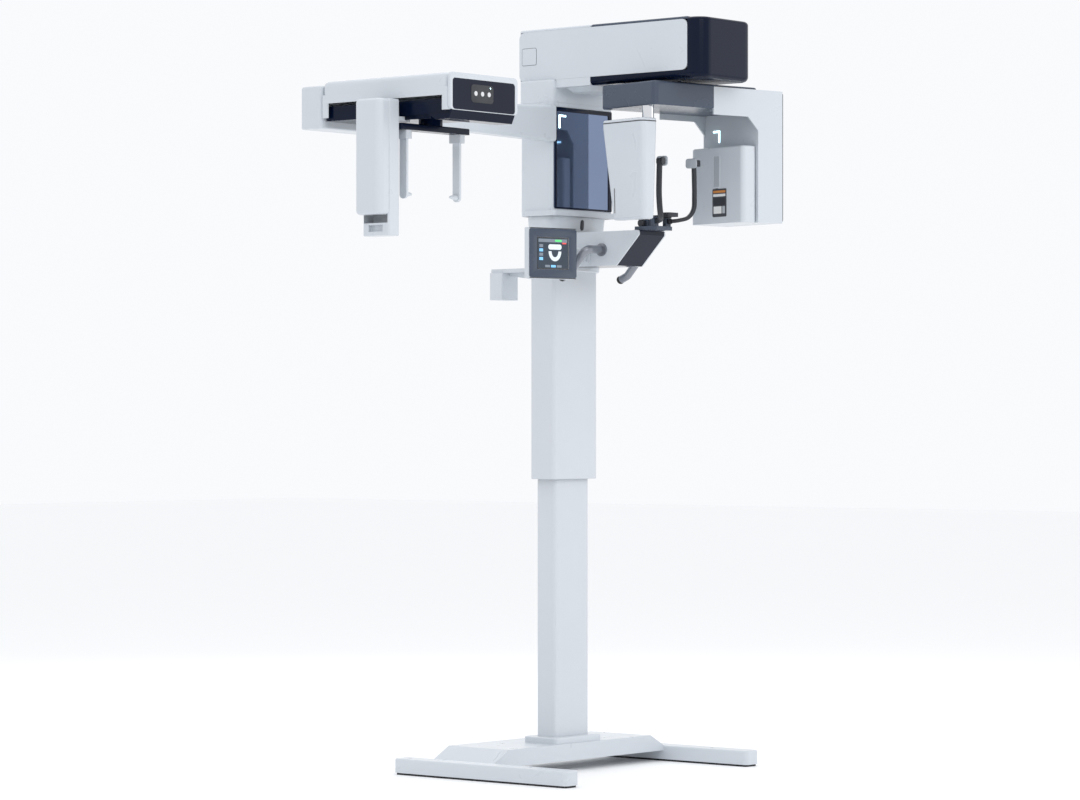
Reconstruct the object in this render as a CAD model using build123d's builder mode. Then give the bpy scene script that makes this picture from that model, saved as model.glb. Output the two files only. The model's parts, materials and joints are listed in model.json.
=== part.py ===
from build123d import *
from math import cos, radians, sin
import os

# Panoramic x-ray machine with a cephalometric side arm, in millimetres.
# +Z is up, -Y is the side the patient stands on, the cephalometric arm reaches along -X,
# and the origin lies on the floor under the column, at the centre of the floor bolts.

# ---------------------------------------------------------------- clearances
body_gap = 0.3            # between pieces that move past each other
running_gap = 0.08        # radial, round a shaft or rod
seam = 0.3                # between two covers of one body

# ---------------------------------------------------------------- floor stand
leg_outer = 475           # half the width over the two legs
leg_width = 64
leg_front = -402
leg_rear = 281
leg_top = 50
leg_corner = 14
strip_height = 6
anchor_x = 443            # half spacings of the floor bolts
anchor_y = 240
anchor_radius = 6.5
cross_front = -72
cross_rear = 170
cross_under = 34
cross_top = 86
cross_flat = 345          # half length of the level top of the cross-member

# ---------------------------------------------------------------- lifting column
column_half = 81.5
column_front = -35
column_rear = 41
column_wall = 5
column_top = 1480
flange_margin = 20
flange_thick = 12
bolt_radius = 6
plinth_margin = 30
plinth_height = 20
sheet = 3                 # sheet thickness of small covers
sleeve_half = 106.6
sleeve_front = -50
sleeve_rear = 47
sleeve_wall = 2.5
sleeve_bottom = 900
sleeve_top = 2100
actuator_radius = 30
actuator_top = 1000
rod_radius = 18
rod_bottom = 762

# ---------------------------------------------------------------- carriage
carriage_half = 148
carriage_front = -78
carriage_rear = 52
carriage_bottom = 1708
carriage_top = 2056
carriage_corner = 14
cover_wall = 4
mirror_half = 140
mirror_bottom = 1730
mirror_top = 2042
mirror_thick = 5
ledge_depth = 13
ledge_height = 17
lower_half = 138
lower_bottom = 1540

# ---------------------------------------------------------------- top arm
arm_half = 130
arm_rear = 69
arm_join = -213           # where the dark front covers begin
arm_side_front = -585
arm_nose = -640
arm_under = 2100
arm_side_bottom = 2125
arm_side_top = 2276
arm_top = 2284
frame_half = 108
frame_wall = 6
frame_top = 2240
frame_front = -565

# ---------------------------------------------------------------- rotating unit
axis_x = 0
axis_y = -415
gantry_yaw = -11.3
shift_back = 30           # travel of the rotation axis towards the column
shift_out = 20            # and away from it
beam_top = 2094
beam_bottom = 2022
beam_left = -165
beam_right = 350
beam_half = 126
hub_radius = 50
shaft_radius = 30
motor_radius = 74
tube_inner = 250
tube_bottom = 1684
box_inner = 192
box_top = 1918
head_start = 70           # where the white side panels of the tube head begin
detector_outer = -187
detector_thick = 62
detector_half = 95
detector_top = 1985
detector_bottom = 1683
detector_taper = 20
swivel_x = -146
swivel_y = -74
swivel_radius = 17.5

# ---------------------------------------------------------------- patient support
support_half = 65
support_top = 1658
support_bottom = 1553
support_nose = -350
support_heel = -262
head_y = -445
temple_half = 86
temple_foot = 30
temple_low = 1686
temple_high = 1858
handle_radius = 12.5
handle_reach = 142

# ---------------------------------------------------------------- display
display_x = -265
display_y = -178
display_yaw = -13
display_half = 90
display_thick = 28
display_bottom = 1508
display_top = 1662
screen_half = 60
screen_height = 96

# ---------------------------------------------------------------- cephalometric unit
ceph_outer = -1200
ceph_inner = -913
ceph_front = -588
ceph_rear = -18
ceph_top = 2040
ceph_skirt = 1977
ceph_leg = 1936
ceph_under = 1922
ceph_arm_y = (-94, -42)
rear_box_depth = 84
sensor_depth = (-414, -315)
sensor_outer = -1296
sensor_inner = -1212
sensor_bottom = 1592
sensor_top = 1972
scan_travel = 85
cranio_x = -1057
cranio_y = -390
bar_half = 146
bar_width = 22
pivot_radius = 9
bar_bottom = 1890
bar_top = 1908
ear_half = 112
tip_height = 1712
tip_length = 31
ear_close = 45
ear_open = 18
key_travel = 1.5

floor = Plane.XY
gantry = Plane(
    origin=(axis_x, axis_y, 0),
    x_dir=(cos(radians(gantry_yaw)), sin(radians(gantry_yaw)), 0),
    z_dir=(0, 0, 1),
)
display = Plane(
    origin=(display_x, display_y, 0),
    x_dir=(cos(radians(display_yaw)), sin(radians(display_yaw)), 0),
    z_dir=(0, 0, 1),
)


def middle(pair):
    return (pair[0] + pair[1]) / 2


def span(pair):
    return abs(pair[1] - pair[0])


def both(half):
    return (-half, half)


def block(plane, x, y, z, radius=0, mode=Mode.ADD):
    """A block between pairs of limits, its upright edges rounded."""
    with BuildSketch(plane.offset(min(z))) as outline:
        with Locations((middle(x), middle(y))):
            if radius > 0:
                RectangleRounded(span(x), span(y), radius)
            else:
                Rectangle(span(x), span(y))
    extrude(outline.sketch, amount=span(z), mode=mode)


def disc(plane, centre, radius, z, mode=Mode.ADD):
    """An upright cylinder."""
    with BuildSketch(plane.offset(min(z))) as outline:
        with Locations(centre):
            Circle(radius)
    extrude(outline.sketch, amount=span(z), mode=mode)


def prism(plane, points, amount, radius=0, mode=Mode.ADD):
    """A polygon on a plane, pushed along its normal, its corners rounded."""
    with BuildSketch(plane) as outline:
        with BuildLine():
            if radius > 0:
                FilletPolyline(*points, radius=radius, close=True)
            else:
                Polyline(*points, close=True)
        make_face()
    extrude(outline.sketch, amount=amount, mode=mode)


def taper(plane, low, high, mode=Mode.ADD):
    """A loft between two rounded rectangles, each (x pair, y pair, z, radius)."""
    ends = []
    for x, y, z, radius in (low, high):
        with BuildSketch(plane.offset(z)) as outline:
            with Locations((middle(x), middle(y))):
                RectangleRounded(span(x), span(y), radius)
        ends.append(outline.sketch)
    loft(ends, mode=mode)


def grow(pair, amount):
    return (min(pair) - amount, max(pair) + amount)


def save(piece, name):
    piece.part.label = name
    export_step(piece.part, f"parts/{name}.step")


os.makedirs("parts", exist_ok=True)

# ================================================================ floor stand
leg_inner = leg_outer - leg_width
leg_spans = [(-leg_outer, -leg_inner), (leg_inner, leg_outer)]
anchors = [(x, y) for x in both(anchor_x) for y in both(anchor_y)]
column_y = (column_front, column_rear)
column_mid = middle(column_y)
flange_x = both(column_half + flange_margin)
flange_y = grow(column_y, flange_margin)
flange_top = cross_top + flange_thick
bolts = [(x, y) for x in grow(flange_x, -10) for y in grow(flange_y, -10)]

with BuildPart() as base_frame:
    for leg_x in leg_spans:
        block(floor, leg_x, (leg_front, leg_rear), (strip_height, leg_top), leg_corner)
    fillet(base_frame.edges().group_by(Axis.Z)[-1], 6)
    root = leg_inner + 10
    prism(
        Plane.XZ.offset(-cross_rear),
        [
            (-root, cross_under),
            (-root, leg_top - 4),
            (-cross_flat, cross_top),
            (cross_flat, cross_top),
            (root, leg_top - 4),
            (root, cross_under),
        ],
        cross_rear - cross_front,
    )
    for anchor in anchors:
        disc(floor, anchor, anchor_radius, (0, leg_top + 1), Mode.SUBTRACT)
    for bolt in bolts:
        disc(floor, bolt, bolt_radius + running_gap, (cross_under + 12, cross_top), Mode.SUBTRACT)
save(base_frame, "base_frame")

with BuildPart() as foot_strips:
    for leg_x in leg_spans:
        block(floor, grow(leg_x, -5), (leg_front + 5, leg_rear - 5), (0, strip_height), leg_corner - 5)
    for anchor in anchors:
        disc(floor, anchor, anchor_radius, (0, strip_height), Mode.SUBTRACT)
save(foot_strips, "foot_strips")

with BuildPart() as lower_column:
    block(floor, flange_x, flange_y, (cross_top, flange_top), 6)
    block(floor, both(column_half), column_y, (cross_top, column_top), 9)
    block(
        floor,
        both(column_half - column_wall),
        grow(column_y, -column_wall),
        (cross_top, column_top),
        5,
        Mode.SUBTRACT,
    )
    for bolt in bolts:
        disc(floor, bolt, bolt_radius + 0.5, (cross_top, flange_top), Mode.SUBTRACT)
save(lower_column, "lower_column")

with BuildPart() as column_bolts:
    for bolt in bolts:
        disc(floor, bolt, bolt_radius, (cross_under + 13, flange_top))
        disc(floor, bolt, bolt_radius * 1.5, (flange_top, flange_top + 4))
save(column_bolts, "column_bolts")

plinth_top = cross_top + plinth_height
with BuildPart() as column_plinth:
    plinth_y = grow(column_y, plinth_margin)
    block(floor, both(column_half + plinth_margin), plinth_y, (cross_top, plinth_top), 16)
    fillet(column_plinth.edges().group_by(Axis.Z)[-1], 5)
    block(
        floor,
        both(column_half + plinth_margin - sheet),
        grow(column_y, plinth_margin - sheet),
        (cross_top, plinth_top - sheet),
        12,
        Mode.SUBTRACT,
    )
    block(floor, both(column_half + seam), grow(column_y, seam), (cross_top, plinth_top), 9, Mode.SUBTRACT)
save(column_plinth, "column_plinth")

actuator_at = (0, column_mid)
with BuildPart() as actuator_body:
    block(floor, both(62), grow((column_mid, column_mid), 29), (cross_top, 190), 8)
    disc(floor, actuator_at, actuator_radius, (190, actuator_top))
    disc(floor, actuator_at, rod_radius + running_gap, (130, actuator_top), Mode.SUBTRACT)
save(actuator_body, "actuator_body")

# ================================================================ moving sleeve
sleeve_y = (sleeve_front, sleeve_rear)
with BuildPart() as column_sleeve:
    block(floor, both(sleeve_half), sleeve_y, (sleeve_bottom, sleeve_top), 12)
    fillet(column_sleeve.edges().group_by(Axis.Z)[0], 2)
    block(
        floor,
        both(sleeve_half - sleeve_wall),
        grow(sleeve_y, -sleeve_wall),
        (sleeve_bottom, sleeve_top - 10),
        9.5,
        Mode.SUBTRACT,
    )
save(column_sleeve, "column_sleeve")

with BuildPart() as actuator_rod:
    disc(floor, actuator_at, rod_radius, (rod_bottom, sleeve_top - 10))
save(actuator_rod, "actuator_rod")

with BuildPart() as glide_pads:
    for low in (sleeve_bottom + 20, sleeve_bottom + 340):
        pad_z = (low, low + 60)
        block(floor, both(40), (sleeve_front + sleeve_wall, column_front - body_gap), pad_z)
        block(floor, both(40), (column_rear + body_gap, sleeve_rear - sleeve_wall), pad_z)
        for side in (-1, 1):
            pad_x = (side * (column_half + body_gap), side * (sleeve_half - sleeve_wall))
            block(floor, pad_x, grow((column_mid, column_mid), 20), pad_z)
save(glide_pads, "glide_pads")

# ================================================================ carriage covers
carriage_y = (carriage_front, carriage_rear)
with BuildPart() as carriage_shell:
    block(floor, both(carriage_half), carriage_y, (carriage_bottom, carriage_top), carriage_corner)
    block(
        floor,
        both(carriage_half + 5),
        (carriage_front - ledge_depth, carriage_rear - 20),
        (carriage_bottom, carriage_bottom + ledge_height),
        12,
    )
    fillet(carriage_shell.edges().group_by(Axis.Z)[0], 3)
    block(
        floor,
        both(carriage_half - cover_wall),
        grow(carriage_y, -cover_wall),
        (carriage_bottom, carriage_top - cover_wall),
        carriage_corner - cover_wall,
        Mode.SUBTRACT,
    )
    block(
        floor,
        both(sleeve_half + seam),
        grow(sleeve_y, seam),
        (carriage_top - cover_wall, carriage_top),
        12,
        Mode.SUBTRACT,
    )
    prism(
        Plane.XZ.offset(-carriage_front - cover_wall - 1),
        [
            (-mirror_half - seam, mirror_bottom - seam),
            (mirror_half + seam, mirror_bottom - seam),
            (mirror_half + seam, mirror_top + seam),
            (-mirror_half - seam, mirror_top + seam),
        ],
        cover_wall + 2,
        8,
        Mode.SUBTRACT,
    )
save(carriage_shell, "carriage_shell")

with BuildPart() as mirror_panel:
    prism(
        Plane.XZ.offset(-carriage_front - mirror_thick + 1),
        [
            (-mirror_half, mirror_bottom),
            (mirror_half, mirror_bottom),
            (mirror_half, mirror_top),
            (-mirror_half, mirror_top),
        ],
        mirror_thick,
        8,
    )
    chamfer(mirror_panel.faces().sort_by(Axis.Y)[0].edges(), 0.8)
save(mirror_panel, "mirror_panel")

lower_y = (carriage_front + 2, carriage_rear)
lower_top = carriage_bottom - seam
with BuildPart() as lower_cover:
    taper(
        floor,
        (both(lower_half - 16), (carriage_front + 14, carriage_rear), lower_bottom, 40),
        (both(lower_half), lower_y, lower_top, 44),
    )
    fillet(lower_cover.edges().group_by(Axis.Z)[0], 5)
    taper(
        floor,
        (
            both(lower_half - 16 - cover_wall),
            (carriage_front + 14 + cover_wall, carriage_rear - cover_wall),
            lower_bottom + cover_wall,
            36,
        ),
        (both(lower_half - cover_wall), grow(lower_y, -cover_wall), lower_top, 40),
        Mode.SUBTRACT,
    )
    block(
        floor,
        both(sleeve_half + seam),
        grow(sleeve_y, seam),
        (lower_bottom - 1, lower_top + 1),
        12,
        Mode.SUBTRACT,
    )
    block(
        floor,
        both(48),
        (carriage_rear - cover_wall - 1, carriage_rear + 1),
        (lower_bottom - 1, 1602),
        0,
        Mode.SUBTRACT,
    )
    prism(
        Plane.XZ.offset(-carriage_front - 30),
        [(-44, 1565), (44, 1565), (44, 1645), (-44, 1645)],
        60,
        0,
        Mode.SUBTRACT,
    )
save(lower_cover, "lower_cover")

neck_top = arm_side_bottom - seam
with BuildPart() as neck_cover:
    neck_y = (carriage_front, carriage_rear + 8)
    block(floor, both(carriage_half), neck_y, (carriage_top + seam, neck_top), 20)
    fillet(neck_cover.edges().group_by(Axis.Z)[-1], 6)
    block(
        floor,
        both(carriage_half - cover_wall),
        (carriage_front + cover_wall, carriage_rear + 8 - cover_wall),
        (carriage_top + seam, neck_top - cover_wall),
        16,
        Mode.SUBTRACT,
    )
    block(floor, both(frame_half + 2), (sleeve_front - 12, sleeve_rear + 3), (2070, neck_top), 0, Mode.SUBTRACT)
save(neck_cover, "neck_cover")

with BuildPart() as rear_bracket:
    block(floor, both(32), (sleeve_rear, 270), (1544, 1556), 4)
    block(floor, both(46), (sleeve_rear, sleeve_rear + 8), (1490, 1600), 3)
    prism(
        Plane.YZ.offset(-4),
        [(sleeve_rear + 4, 1512), (sleeve_rear + 4, 1548), (225, 1548), (225, 1536)],
        8,
    )
    block(floor, both(39.5), (217, 270), (1459, 1544), 5)
    for x in (-34, 34):
        for z in (1504, 1586):
            with Locations(Plane((x, sleeve_rear + 8, z), z_dir=(0, 1, 0))):
                CounterSinkHole(3.2, 6.4, 8)
save(rear_bracket, "rear_bracket")

# ================================================================ top arm
with BuildPart() as arm_frame:
    block(floor, both(frame_half), (sleeve_front, sleeve_rear), (sleeve_top, frame_top), 4)
    block(
        floor,
        both(frame_half - frame_wall),
        (sleeve_front - 1, sleeve_rear - frame_wall),
        (sleeve_top + 12, frame_top - 8),
        0,
        Mode.SUBTRACT,
    )
    block(floor, both(frame_half), (frame_front, sleeve_front), (frame_top - 8, frame_top))
    for side in (-1, 1):
        wall_x = (side * frame_half, side * (frame_half - frame_wall))
        block(floor, wall_x, (frame_front, sleeve_front), (2130, frame_top))
save(arm_frame, "arm_frame")

side_points = [
    (arm_side_front, arm_side_bottom),
    (arm_rear, arm_side_bottom),
    (arm_rear, arm_side_top),
    (arm_side_front, arm_side_top),
]
with BuildPart() as arm_sides:
    for side in (-1, 1):
        inner = arm_half - 5
        prism(Plane.YZ.offset(min(side * inner, side * arm_half)), side_points, 5, 20)
        for y in (-520, -300, -80):
            rib_x = (side * (frame_half + seam), side * inner)
            block(floor, rib_x, (y - 12, y + 12), (2190, 2214))
save(arm_sides, "arm_sides")

with BuildPart() as arm_top_cover:
    block(
        floor, both(arm_half - 1), (arm_side_front, arm_join - seam), (arm_side_top + seam, arm_top), 8
    )
    fillet(arm_top_cover.edges().group_by(Axis.Z)[-1], 5)
    block(floor, both(30), (arm_side_front + 60, arm_join - 60), (frame_top + seam, arm_side_top + seam), 4)
save(arm_top_cover, "arm_top_cover")

with BuildPart() as arm_rear_cover:
    block(floor, both(arm_half - 1), (arm_join, arm_rear), (arm_side_top + seam, arm_top), 8)
    fillet(arm_rear_cover.edges().group_by(Axis.Z)[-1], 5)
    block(
        floor,
        both(arm_half - 5 - seam),
        (arm_rear - cover_wall, arm_rear),
        (arm_side_bottom, arm_side_top + seam),
    )
save(arm_rear_cover, "arm_rear_cover")

under_y = (arm_join, carriage_front - seam)
with BuildPart() as arm_under_cover:
    block(floor, both(arm_half), under_y, (arm_under, neck_top))
    block(
        floor,
        both(arm_half - cover_wall),
        grow(under_y, -cover_wall),
        (arm_under + cover_wall, neck_top),
        0,
        Mode.SUBTRACT,
    )
    taper(
        floor,
        (both(88), (arm_join + 20, carriage_front - 22), arm_under - 14, 20),
        (both(104), (arm_join + 5, carriage_front - 6), arm_under, 26),
    )
save(arm_under_cover, "arm_under_cover")

slot_y = (axis_y - hub_radius - shift_out - 6, axis_y + hub_radius + shift_back + 6)
with BuildPart() as arm_front_cap:
    block(floor, both(arm_half), (arm_nose, arm_join - seam), (arm_under, neck_top))
    block(floor, both(arm_half), (arm_nose, arm_side_front - seam), (arm_under, arm_top - 2))
    fillet(arm_front_cap.edges().filter_by(Axis.Z).group_by(Axis.Y)[0], 46)
    fillet(arm_front_cap.faces().sort_by(Axis.Z)[-1].edges().group_by(Axis.Y)[0], 12)
    fillet(arm_front_cap.faces().sort_by(Axis.Z)[0].edges().group_by(Axis.Y)[0], 16)
    block(
        floor,
        both(arm_half - cover_wall),
        (arm_nose + 46, arm_join - seam - cover_wall),
        (arm_under + cover_wall, neck_top),
        0,
        Mode.SUBTRACT,
    )
    block(
        floor,
        both(arm_half - 46),
        (arm_nose + 20, arm_side_front + 20),
        (arm_under + cover_wall, arm_top - 16),
        12,
        Mode.SUBTRACT,
    )
    block(floor, both(hub_radius + 6), slot_y, (arm_under, arm_under + cover_wall), 20, Mode.SUBTRACT)
save(arm_front_cap, "arm_front_cap")

rail_x = 72
rail_z = (frame_top - 8 - 13, frame_top - 8)
rail_y = (axis_y - 115, axis_y + 125)
with BuildPart() as shift_rails:
    for side in (-1, 1):
        block(floor, grow((side * rail_x, side * rail_x), 7.5), rail_y, rail_z)
save(shift_rails, "shift_rails")

screw_z = 2217
screw_y = axis_y + 135
with BuildPart() as shift_actuator:
    block(floor, both(24), (screw_y, screw_y + 150), (screw_z - 20, frame_top - 8), 4)
    with BuildSketch(Plane.XZ.offset(-screw_y)) as bore:
        with Locations((0, screw_z)):
            Circle(7 + running_gap)
    extrude(bore.sketch, amount=-120, mode=Mode.SUBTRACT)
save(shift_actuator, "shift_actuator")

stage_z = (2190, 2200)
with BuildPart() as stage_plate:
    block(floor, both(90), grow((axis_y, axis_y), 78), stage_z, 6)
    for side in (-1, 1):
        for y in (axis_y - 50, axis_y + 50):
            shoe_x = grow((side * rail_x, side * rail_x), 16)
            block(floor, shoe_x, grow((y, y), 26), (stage_z[1], frame_top - 8 - body_gap))
        groove_x = grow((side * rail_x, side * rail_x), 7.5 + body_gap)
        block(
            floor,
            groove_x,
            grow((axis_y, axis_y), 90),
            (rail_z[0] - body_gap, frame_top),
            0,
            Mode.SUBTRACT,
        )
    block(floor, both(14), (axis_y + 40, axis_y + 62), (stage_z[1], screw_z + 11))
    with BuildSketch(Plane.XZ.offset(-axis_y - 60)) as rod_end:
        with Locations((0, screw_z)):
            Circle(7)
    extrude(rod_end.sketch, amount=-140)
save(stage_plate, "stage_plate")

with BuildPart() as rotation_motor:
    disc(floor, (axis_x, axis_y), motor_radius, (2132, stage_z[0]))
    disc(floor, (axis_x, axis_y), shaft_radius + running_gap, (2132, stage_z[0]), Mode.SUBTRACT)
save(rotation_motor, "rotation_motor")

# ================================================================ rotating unit
with BuildPart() as gantry_hub:
    disc(gantry, (0, 0), hub_radius, (beam_top, 2128))
    disc(gantry, (0, 0), shaft_radius, (2128, stage_z[0] - 4))
save(gantry_hub, "gantry_hub")

wall = 4
with BuildPart() as beam_shell:
    block(gantry, (beam_left, tube_inner), both(beam_half), (beam_bottom, beam_top), 16)
    fillet(beam_shell.edges().group_by(Axis.Z)[-1], 6)
    fillet(beam_shell.edges().group_by(Axis.Z)[0], 6)
    block(
        gantry,
        (beam_left + wall, tube_inner - wall),
        both(beam_half - wall),
        (beam_bottom + wall, beam_top - wall),
        12,
        Mode.SUBTRACT,
    )
    block(
        gantry,
        (head_start, tube_inner + 1),
        (beam_half - 6, beam_half + 1),
        (beam_bottom - 1, beam_top + 1),
        0,
        Mode.SUBTRACT,
    )
    block(
        gantry,
        (head_start, tube_inner + 1),
        (-beam_half - 1, -beam_half + 6),
        (beam_bottom - 1, beam_top + 1),
        0,
        Mode.SUBTRACT,
    )
    disc(gantry, (swivel_x, swivel_y), swivel_radius - 5.5, (beam_bottom, beam_bottom + wall), Mode.SUBTRACT)
save(beam_shell, "beam_shell")

head_low = beam_bottom - 18
panel_points = [
    (head_start + seam, head_low),
    (tube_inner - 40, head_low),
    (tube_inner, head_low - 40),
    (tube_inner, tube_bottom),
    (beam_right, tube_bottom),
    (beam_right, beam_top - 6),
    (head_start + seam, beam_top - 6),
]
near_side = Plane(
    origin=gantry.from_local_coords((0, -beam_half, 0)), x_dir=gantry.x_dir, z_dir=-gantry.y_dir
)
far_side = Plane(
    origin=gantry.from_local_coords((0, beam_half - 6 + seam, 0)), x_dir=gantry.x_dir, z_dir=-gantry.y_dir
)
with BuildPart() as tubehead_shell:
    block(
        gantry,
        (tube_inner + seam, beam_right),
        both(beam_half),
        (tube_bottom, beam_top - 6),
        10,
    )
    block(
        gantry,
        (tube_inner + seam + wall, beam_right - wall),
        both(beam_half - wall),
        (tube_bottom + wall, beam_top - 6 - wall),
        7,
        Mode.SUBTRACT,
    )
    prism(near_side.offset(-6 + seam), panel_points, 6 - seam)
    prism(far_side.offset(-6 + seam), panel_points, 6 - seam)
    block(
        gantry,
        (tube_inner - 5, tube_inner + 20),
        both(60),
        (tube_bottom + 30, box_top - 30),
        0,
        Mode.SUBTRACT,
    )
save(tubehead_shell, "tubehead_shell")

with BuildPart() as tube_box:
    block(
        gantry, (box_inner, tube_inner), both(beam_half - 6 - seam), (tube_bottom, box_top), 14
    )
    fillet(tube_box.faces().sort_by(Axis.Z)[-1].edges(), 6)
    block(
        gantry,
        (box_inner + wall, tube_inner + 1),
        both(beam_half - 12),
        (tube_bottom + wall, box_top - wall - 3),
        8,
        Mode.SUBTRACT,
    )
    block(
        gantry, (box_inner - 1, box_inner + wall + 1), both(6), (1740, 1880), 0, Mode.SUBTRACT
    )
save(tube_box, "tube_box")

tank_x = (268, 344)
focus_z = 1812
with BuildPart() as tube_tank:
    block(gantry, tank_x, both(100), (tube_bottom + wall, 1920), 6)
    block(gantry, (tank_x[0] + 6, tank_x[1] - 6), both(94), (tube_bottom + 10, 1914), 0, Mode.SUBTRACT)
    with BuildSketch(Plane(origin=gantry.from_local_coords((260, 0, focus_z)), x_dir=gantry.y_dir,
                           z_dir=gantry.x_dir)) as port:
        Circle(14)
    extrude(port.sketch, amount=20, mode=Mode.SUBTRACT)
save(tube_tank, "tube_tank")

tube_axis = Plane(
    origin=gantry.from_local_coords((middle(tank_x), -94, focus_z)), x_dir=gantry.x_dir, z_dir=gantry.y_dir
)
with BuildPart() as xray_tube:
    with BuildSketch(tube_axis) as stub_ring:
        Circle(12)
    extrude(stub_ring.sketch, amount=40)
    with BuildSketch(tube_axis.offset(40)) as glass_ring:
        Circle(24)
    extrude(glass_ring.sketch, amount=110)
    with BuildSketch(tube_axis.offset(150)) as end_ring:
        Circle(12)
    extrude(end_ring.sketch, amount=38)
save(xray_tube, "xray_tube")

with BuildPart() as collimator:
    block(gantry, (tube_inner - 26, tank_x[0]), both(55), (1735, 1885), 3)
    block(gantry, (tube_inner - 27, tank_x[0] + 1), both(2), (1750, 1870), 0, Mode.SUBTRACT)
save(collimator, "collimator")

# detector with its swivel
detector_x = (detector_outer, detector_outer + detector_thick)
with BuildPart() as swivel_shaft:
    disc(gantry, (swivel_x, swivel_y), swivel_radius, (detector_top, beam_bottom - body_gap))
    disc(
        gantry,
        (swivel_x, swivel_y),
        swivel_radius - 5.5 - running_gap,
        (beam_bottom - body_gap, beam_top - wall - 10),
    )
save(swivel_shaft, "swivel_shaft")

low_x = (detector_x[0] + 8, detector_x[1] - 8)
low_y = (-detector_half + 4, detector_half - 2 * detector_taper)
with BuildPart() as detector_shell:
    taper(
        gantry,
        (low_x, low_y, detector_bottom, 14),
        (detector_x, both(detector_half), detector_top - 26, 14),
    )
    block(gantry, detector_x, both(detector_half), (detector_top - 26, detector_top), 14)
    fillet(detector_shell.edges().group_by(Axis.Z)[-1], 5)
    fillet(detector_shell.edges().group_by(Axis.Z)[0], 8)
    taper(
        gantry,
        (grow(low_x, -wall), grow(low_y, -wall), detector_bottom + wall + 4, 10),
        (grow(detector_x, -wall), grow(both(detector_half), -wall), detector_top - 26, 10),
        Mode.SUBTRACT,
    )
    block(
        gantry,
        grow(detector_x, -wall),
        both(detector_half - wall),
        (detector_top - 26, detector_top - wall),
        10,
        Mode.SUBTRACT,
    )
save(detector_shell, "detector_shell")

with BuildPart() as flat_panel:
    panel_x = (detector_x[1] - wall - 24, detector_x[1] - wall - 9)
    block(gantry, panel_x, (-72, 42), (1730, 1900))
    block(gantry, (detector_x[0] + wall + 8, panel_x[0]), both(30), (1800, 1840))
save(flat_panel, "flat_panel")

# ================================================================ patient support
with BuildPart() as support_frame:
    block(floor, both(40), (-284, sleeve_front), (1588, 1632))
    block(floor, both(34), (-285, sleeve_front - 6), (1594, 1626), 0, Mode.SUBTRACT)
    block(floor, both(56), (sleeve_front - 6, sleeve_front), (1572, 1643))
save(support_frame, "support_frame")

support_back = lower_y[0] + 3
support_points = [
    (support_back, support_bottom),
    (support_heel, support_bottom),
    (support_nose, support_top - 14),
    (support_nose, support_top),
    (support_back, support_top),
]
shell_half = support_half - 5 - seam
with BuildPart() as support_shell:
    prism(Plane.YZ.offset(-shell_half), support_points, 2 * shell_half)
    inner_points = [
        (support_back + 1, support_bottom + 4),
        (support_heel - 1.8, support_bottom + 4),
        (support_nose + 4, support_top - 12.3),
        (support_nose + 4, support_top - 4),
        (support_back + 1, support_top - 4),
    ]
    prism(Plane.YZ.offset(-shell_half + 4), inner_points, 2 * (shell_half - 4), 0, Mode.SUBTRACT)
save(support_shell, "support_shell")

with BuildPart() as support_sides:
    for side in (-1, 1):
        inner = support_half - 5
        prism(Plane.YZ.offset(min(side * inner, side * support_half)), support_points, 5, 6)
save(support_sides, "support_sides")

pivot_z = temple_low
chin_y = -372
with BuildPart() as support_block:
    block(floor, both(44), (-398, -312), (support_top, support_top + 12), 10)
    block(floor, both(22), (-352, -314), (support_top + 12, support_top + 34), 8)
    for side in (-1, 1):
        foot = side * temple_foot
        block(floor, grow((foot, foot), 11), (-390, -376), (support_top + 12, pivot_z + 12))
        with BuildSketch(Plane.XZ.offset(391)) as pin_hole:
            with Locations((foot, pivot_z)):
                Circle(4 + running_gap)
        extrude(pin_hole.sketch, amount=-20, mode=Mode.SUBTRACT)
    disc(floor, (0, chin_y + 22), 6 + running_gap, (support_top, support_top + 34), Mode.SUBTRACT)
save(support_block, "support_block")

with BuildPart() as chin_rest:
    disc(floor, (0, chin_y + 22), 6, (support_top + 2, support_top + 46))
    block(floor, both(9), (-420, chin_y + 30), (support_top + 36, support_top + 46), 4)
    block(floor, both(26), (-436, -404), (support_top + 40, support_top + 52), 12)
save(chin_rest, "chin_rest")


def temple_arm(side, name):
    """One padded arm that swings about a pin along Y at its foot."""
    foot = side * temple_foot
    upright = side * temple_half
    with BuildPart() as arm:
        with BuildSketch(Plane.XZ.offset(391)) as pin:
            with Locations((foot, pivot_z)):
                Circle(4)
        extrude(pin.sketch, amount=-15)
        with BuildSketch(Plane.XZ.offset(390 + body_gap)) as knuckle:
            with Locations((foot, pivot_z)):
                Circle(10)
        extrude(knuckle.sketch, amount=10)
        arm_y = 396
        with BuildLine() as route:
            FilletPolyline(
                (foot, -arm_y, pivot_z),
                (foot, head_y, pivot_z),
                (upright, head_y, pivot_z + 4),
                (upright, head_y, temple_high),
                radius=18,
            )
        with BuildSketch(Plane(origin=(foot, -arm_y, pivot_z), z_dir=(0, -1, 0))) as section:
            RectangleRounded(9, 14, 3)
        sweep(section.sketch, path=route.line)
        pad_x = (upright - side * 2, upright - side * 16)
        block(floor, pad_x, grow((head_y, head_y), 28), (temple_high - 14, temple_high + 26), 6)
    save(arm, name)


temple_arm(-1, "temple_arm_left")
temple_arm(1, "temple_arm_right")

with BuildPart() as handles:
    for side in (-1, 1):
        with BuildLine() as grip:
            FilletPolyline(
                (side * support_half, -206, 1602),
                (side * handle_reach, -206, 1602),
                (side * handle_reach, -140, 1530),
                (side * handle_reach, -112, 1518),
                radius=22,
            )
        start = Plane(origin=(side * support_half, -206, 1602), z_dir=(side, 0, 0))
        with BuildSketch(start) as ring:
            Circle(handle_radius)
        sweep(ring.sketch, path=grip.line)
        with BuildSketch(start) as boss:
            Circle(handle_radius + 7)
        extrude(boss.sketch, amount=6)
save(handles, "handles")

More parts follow.
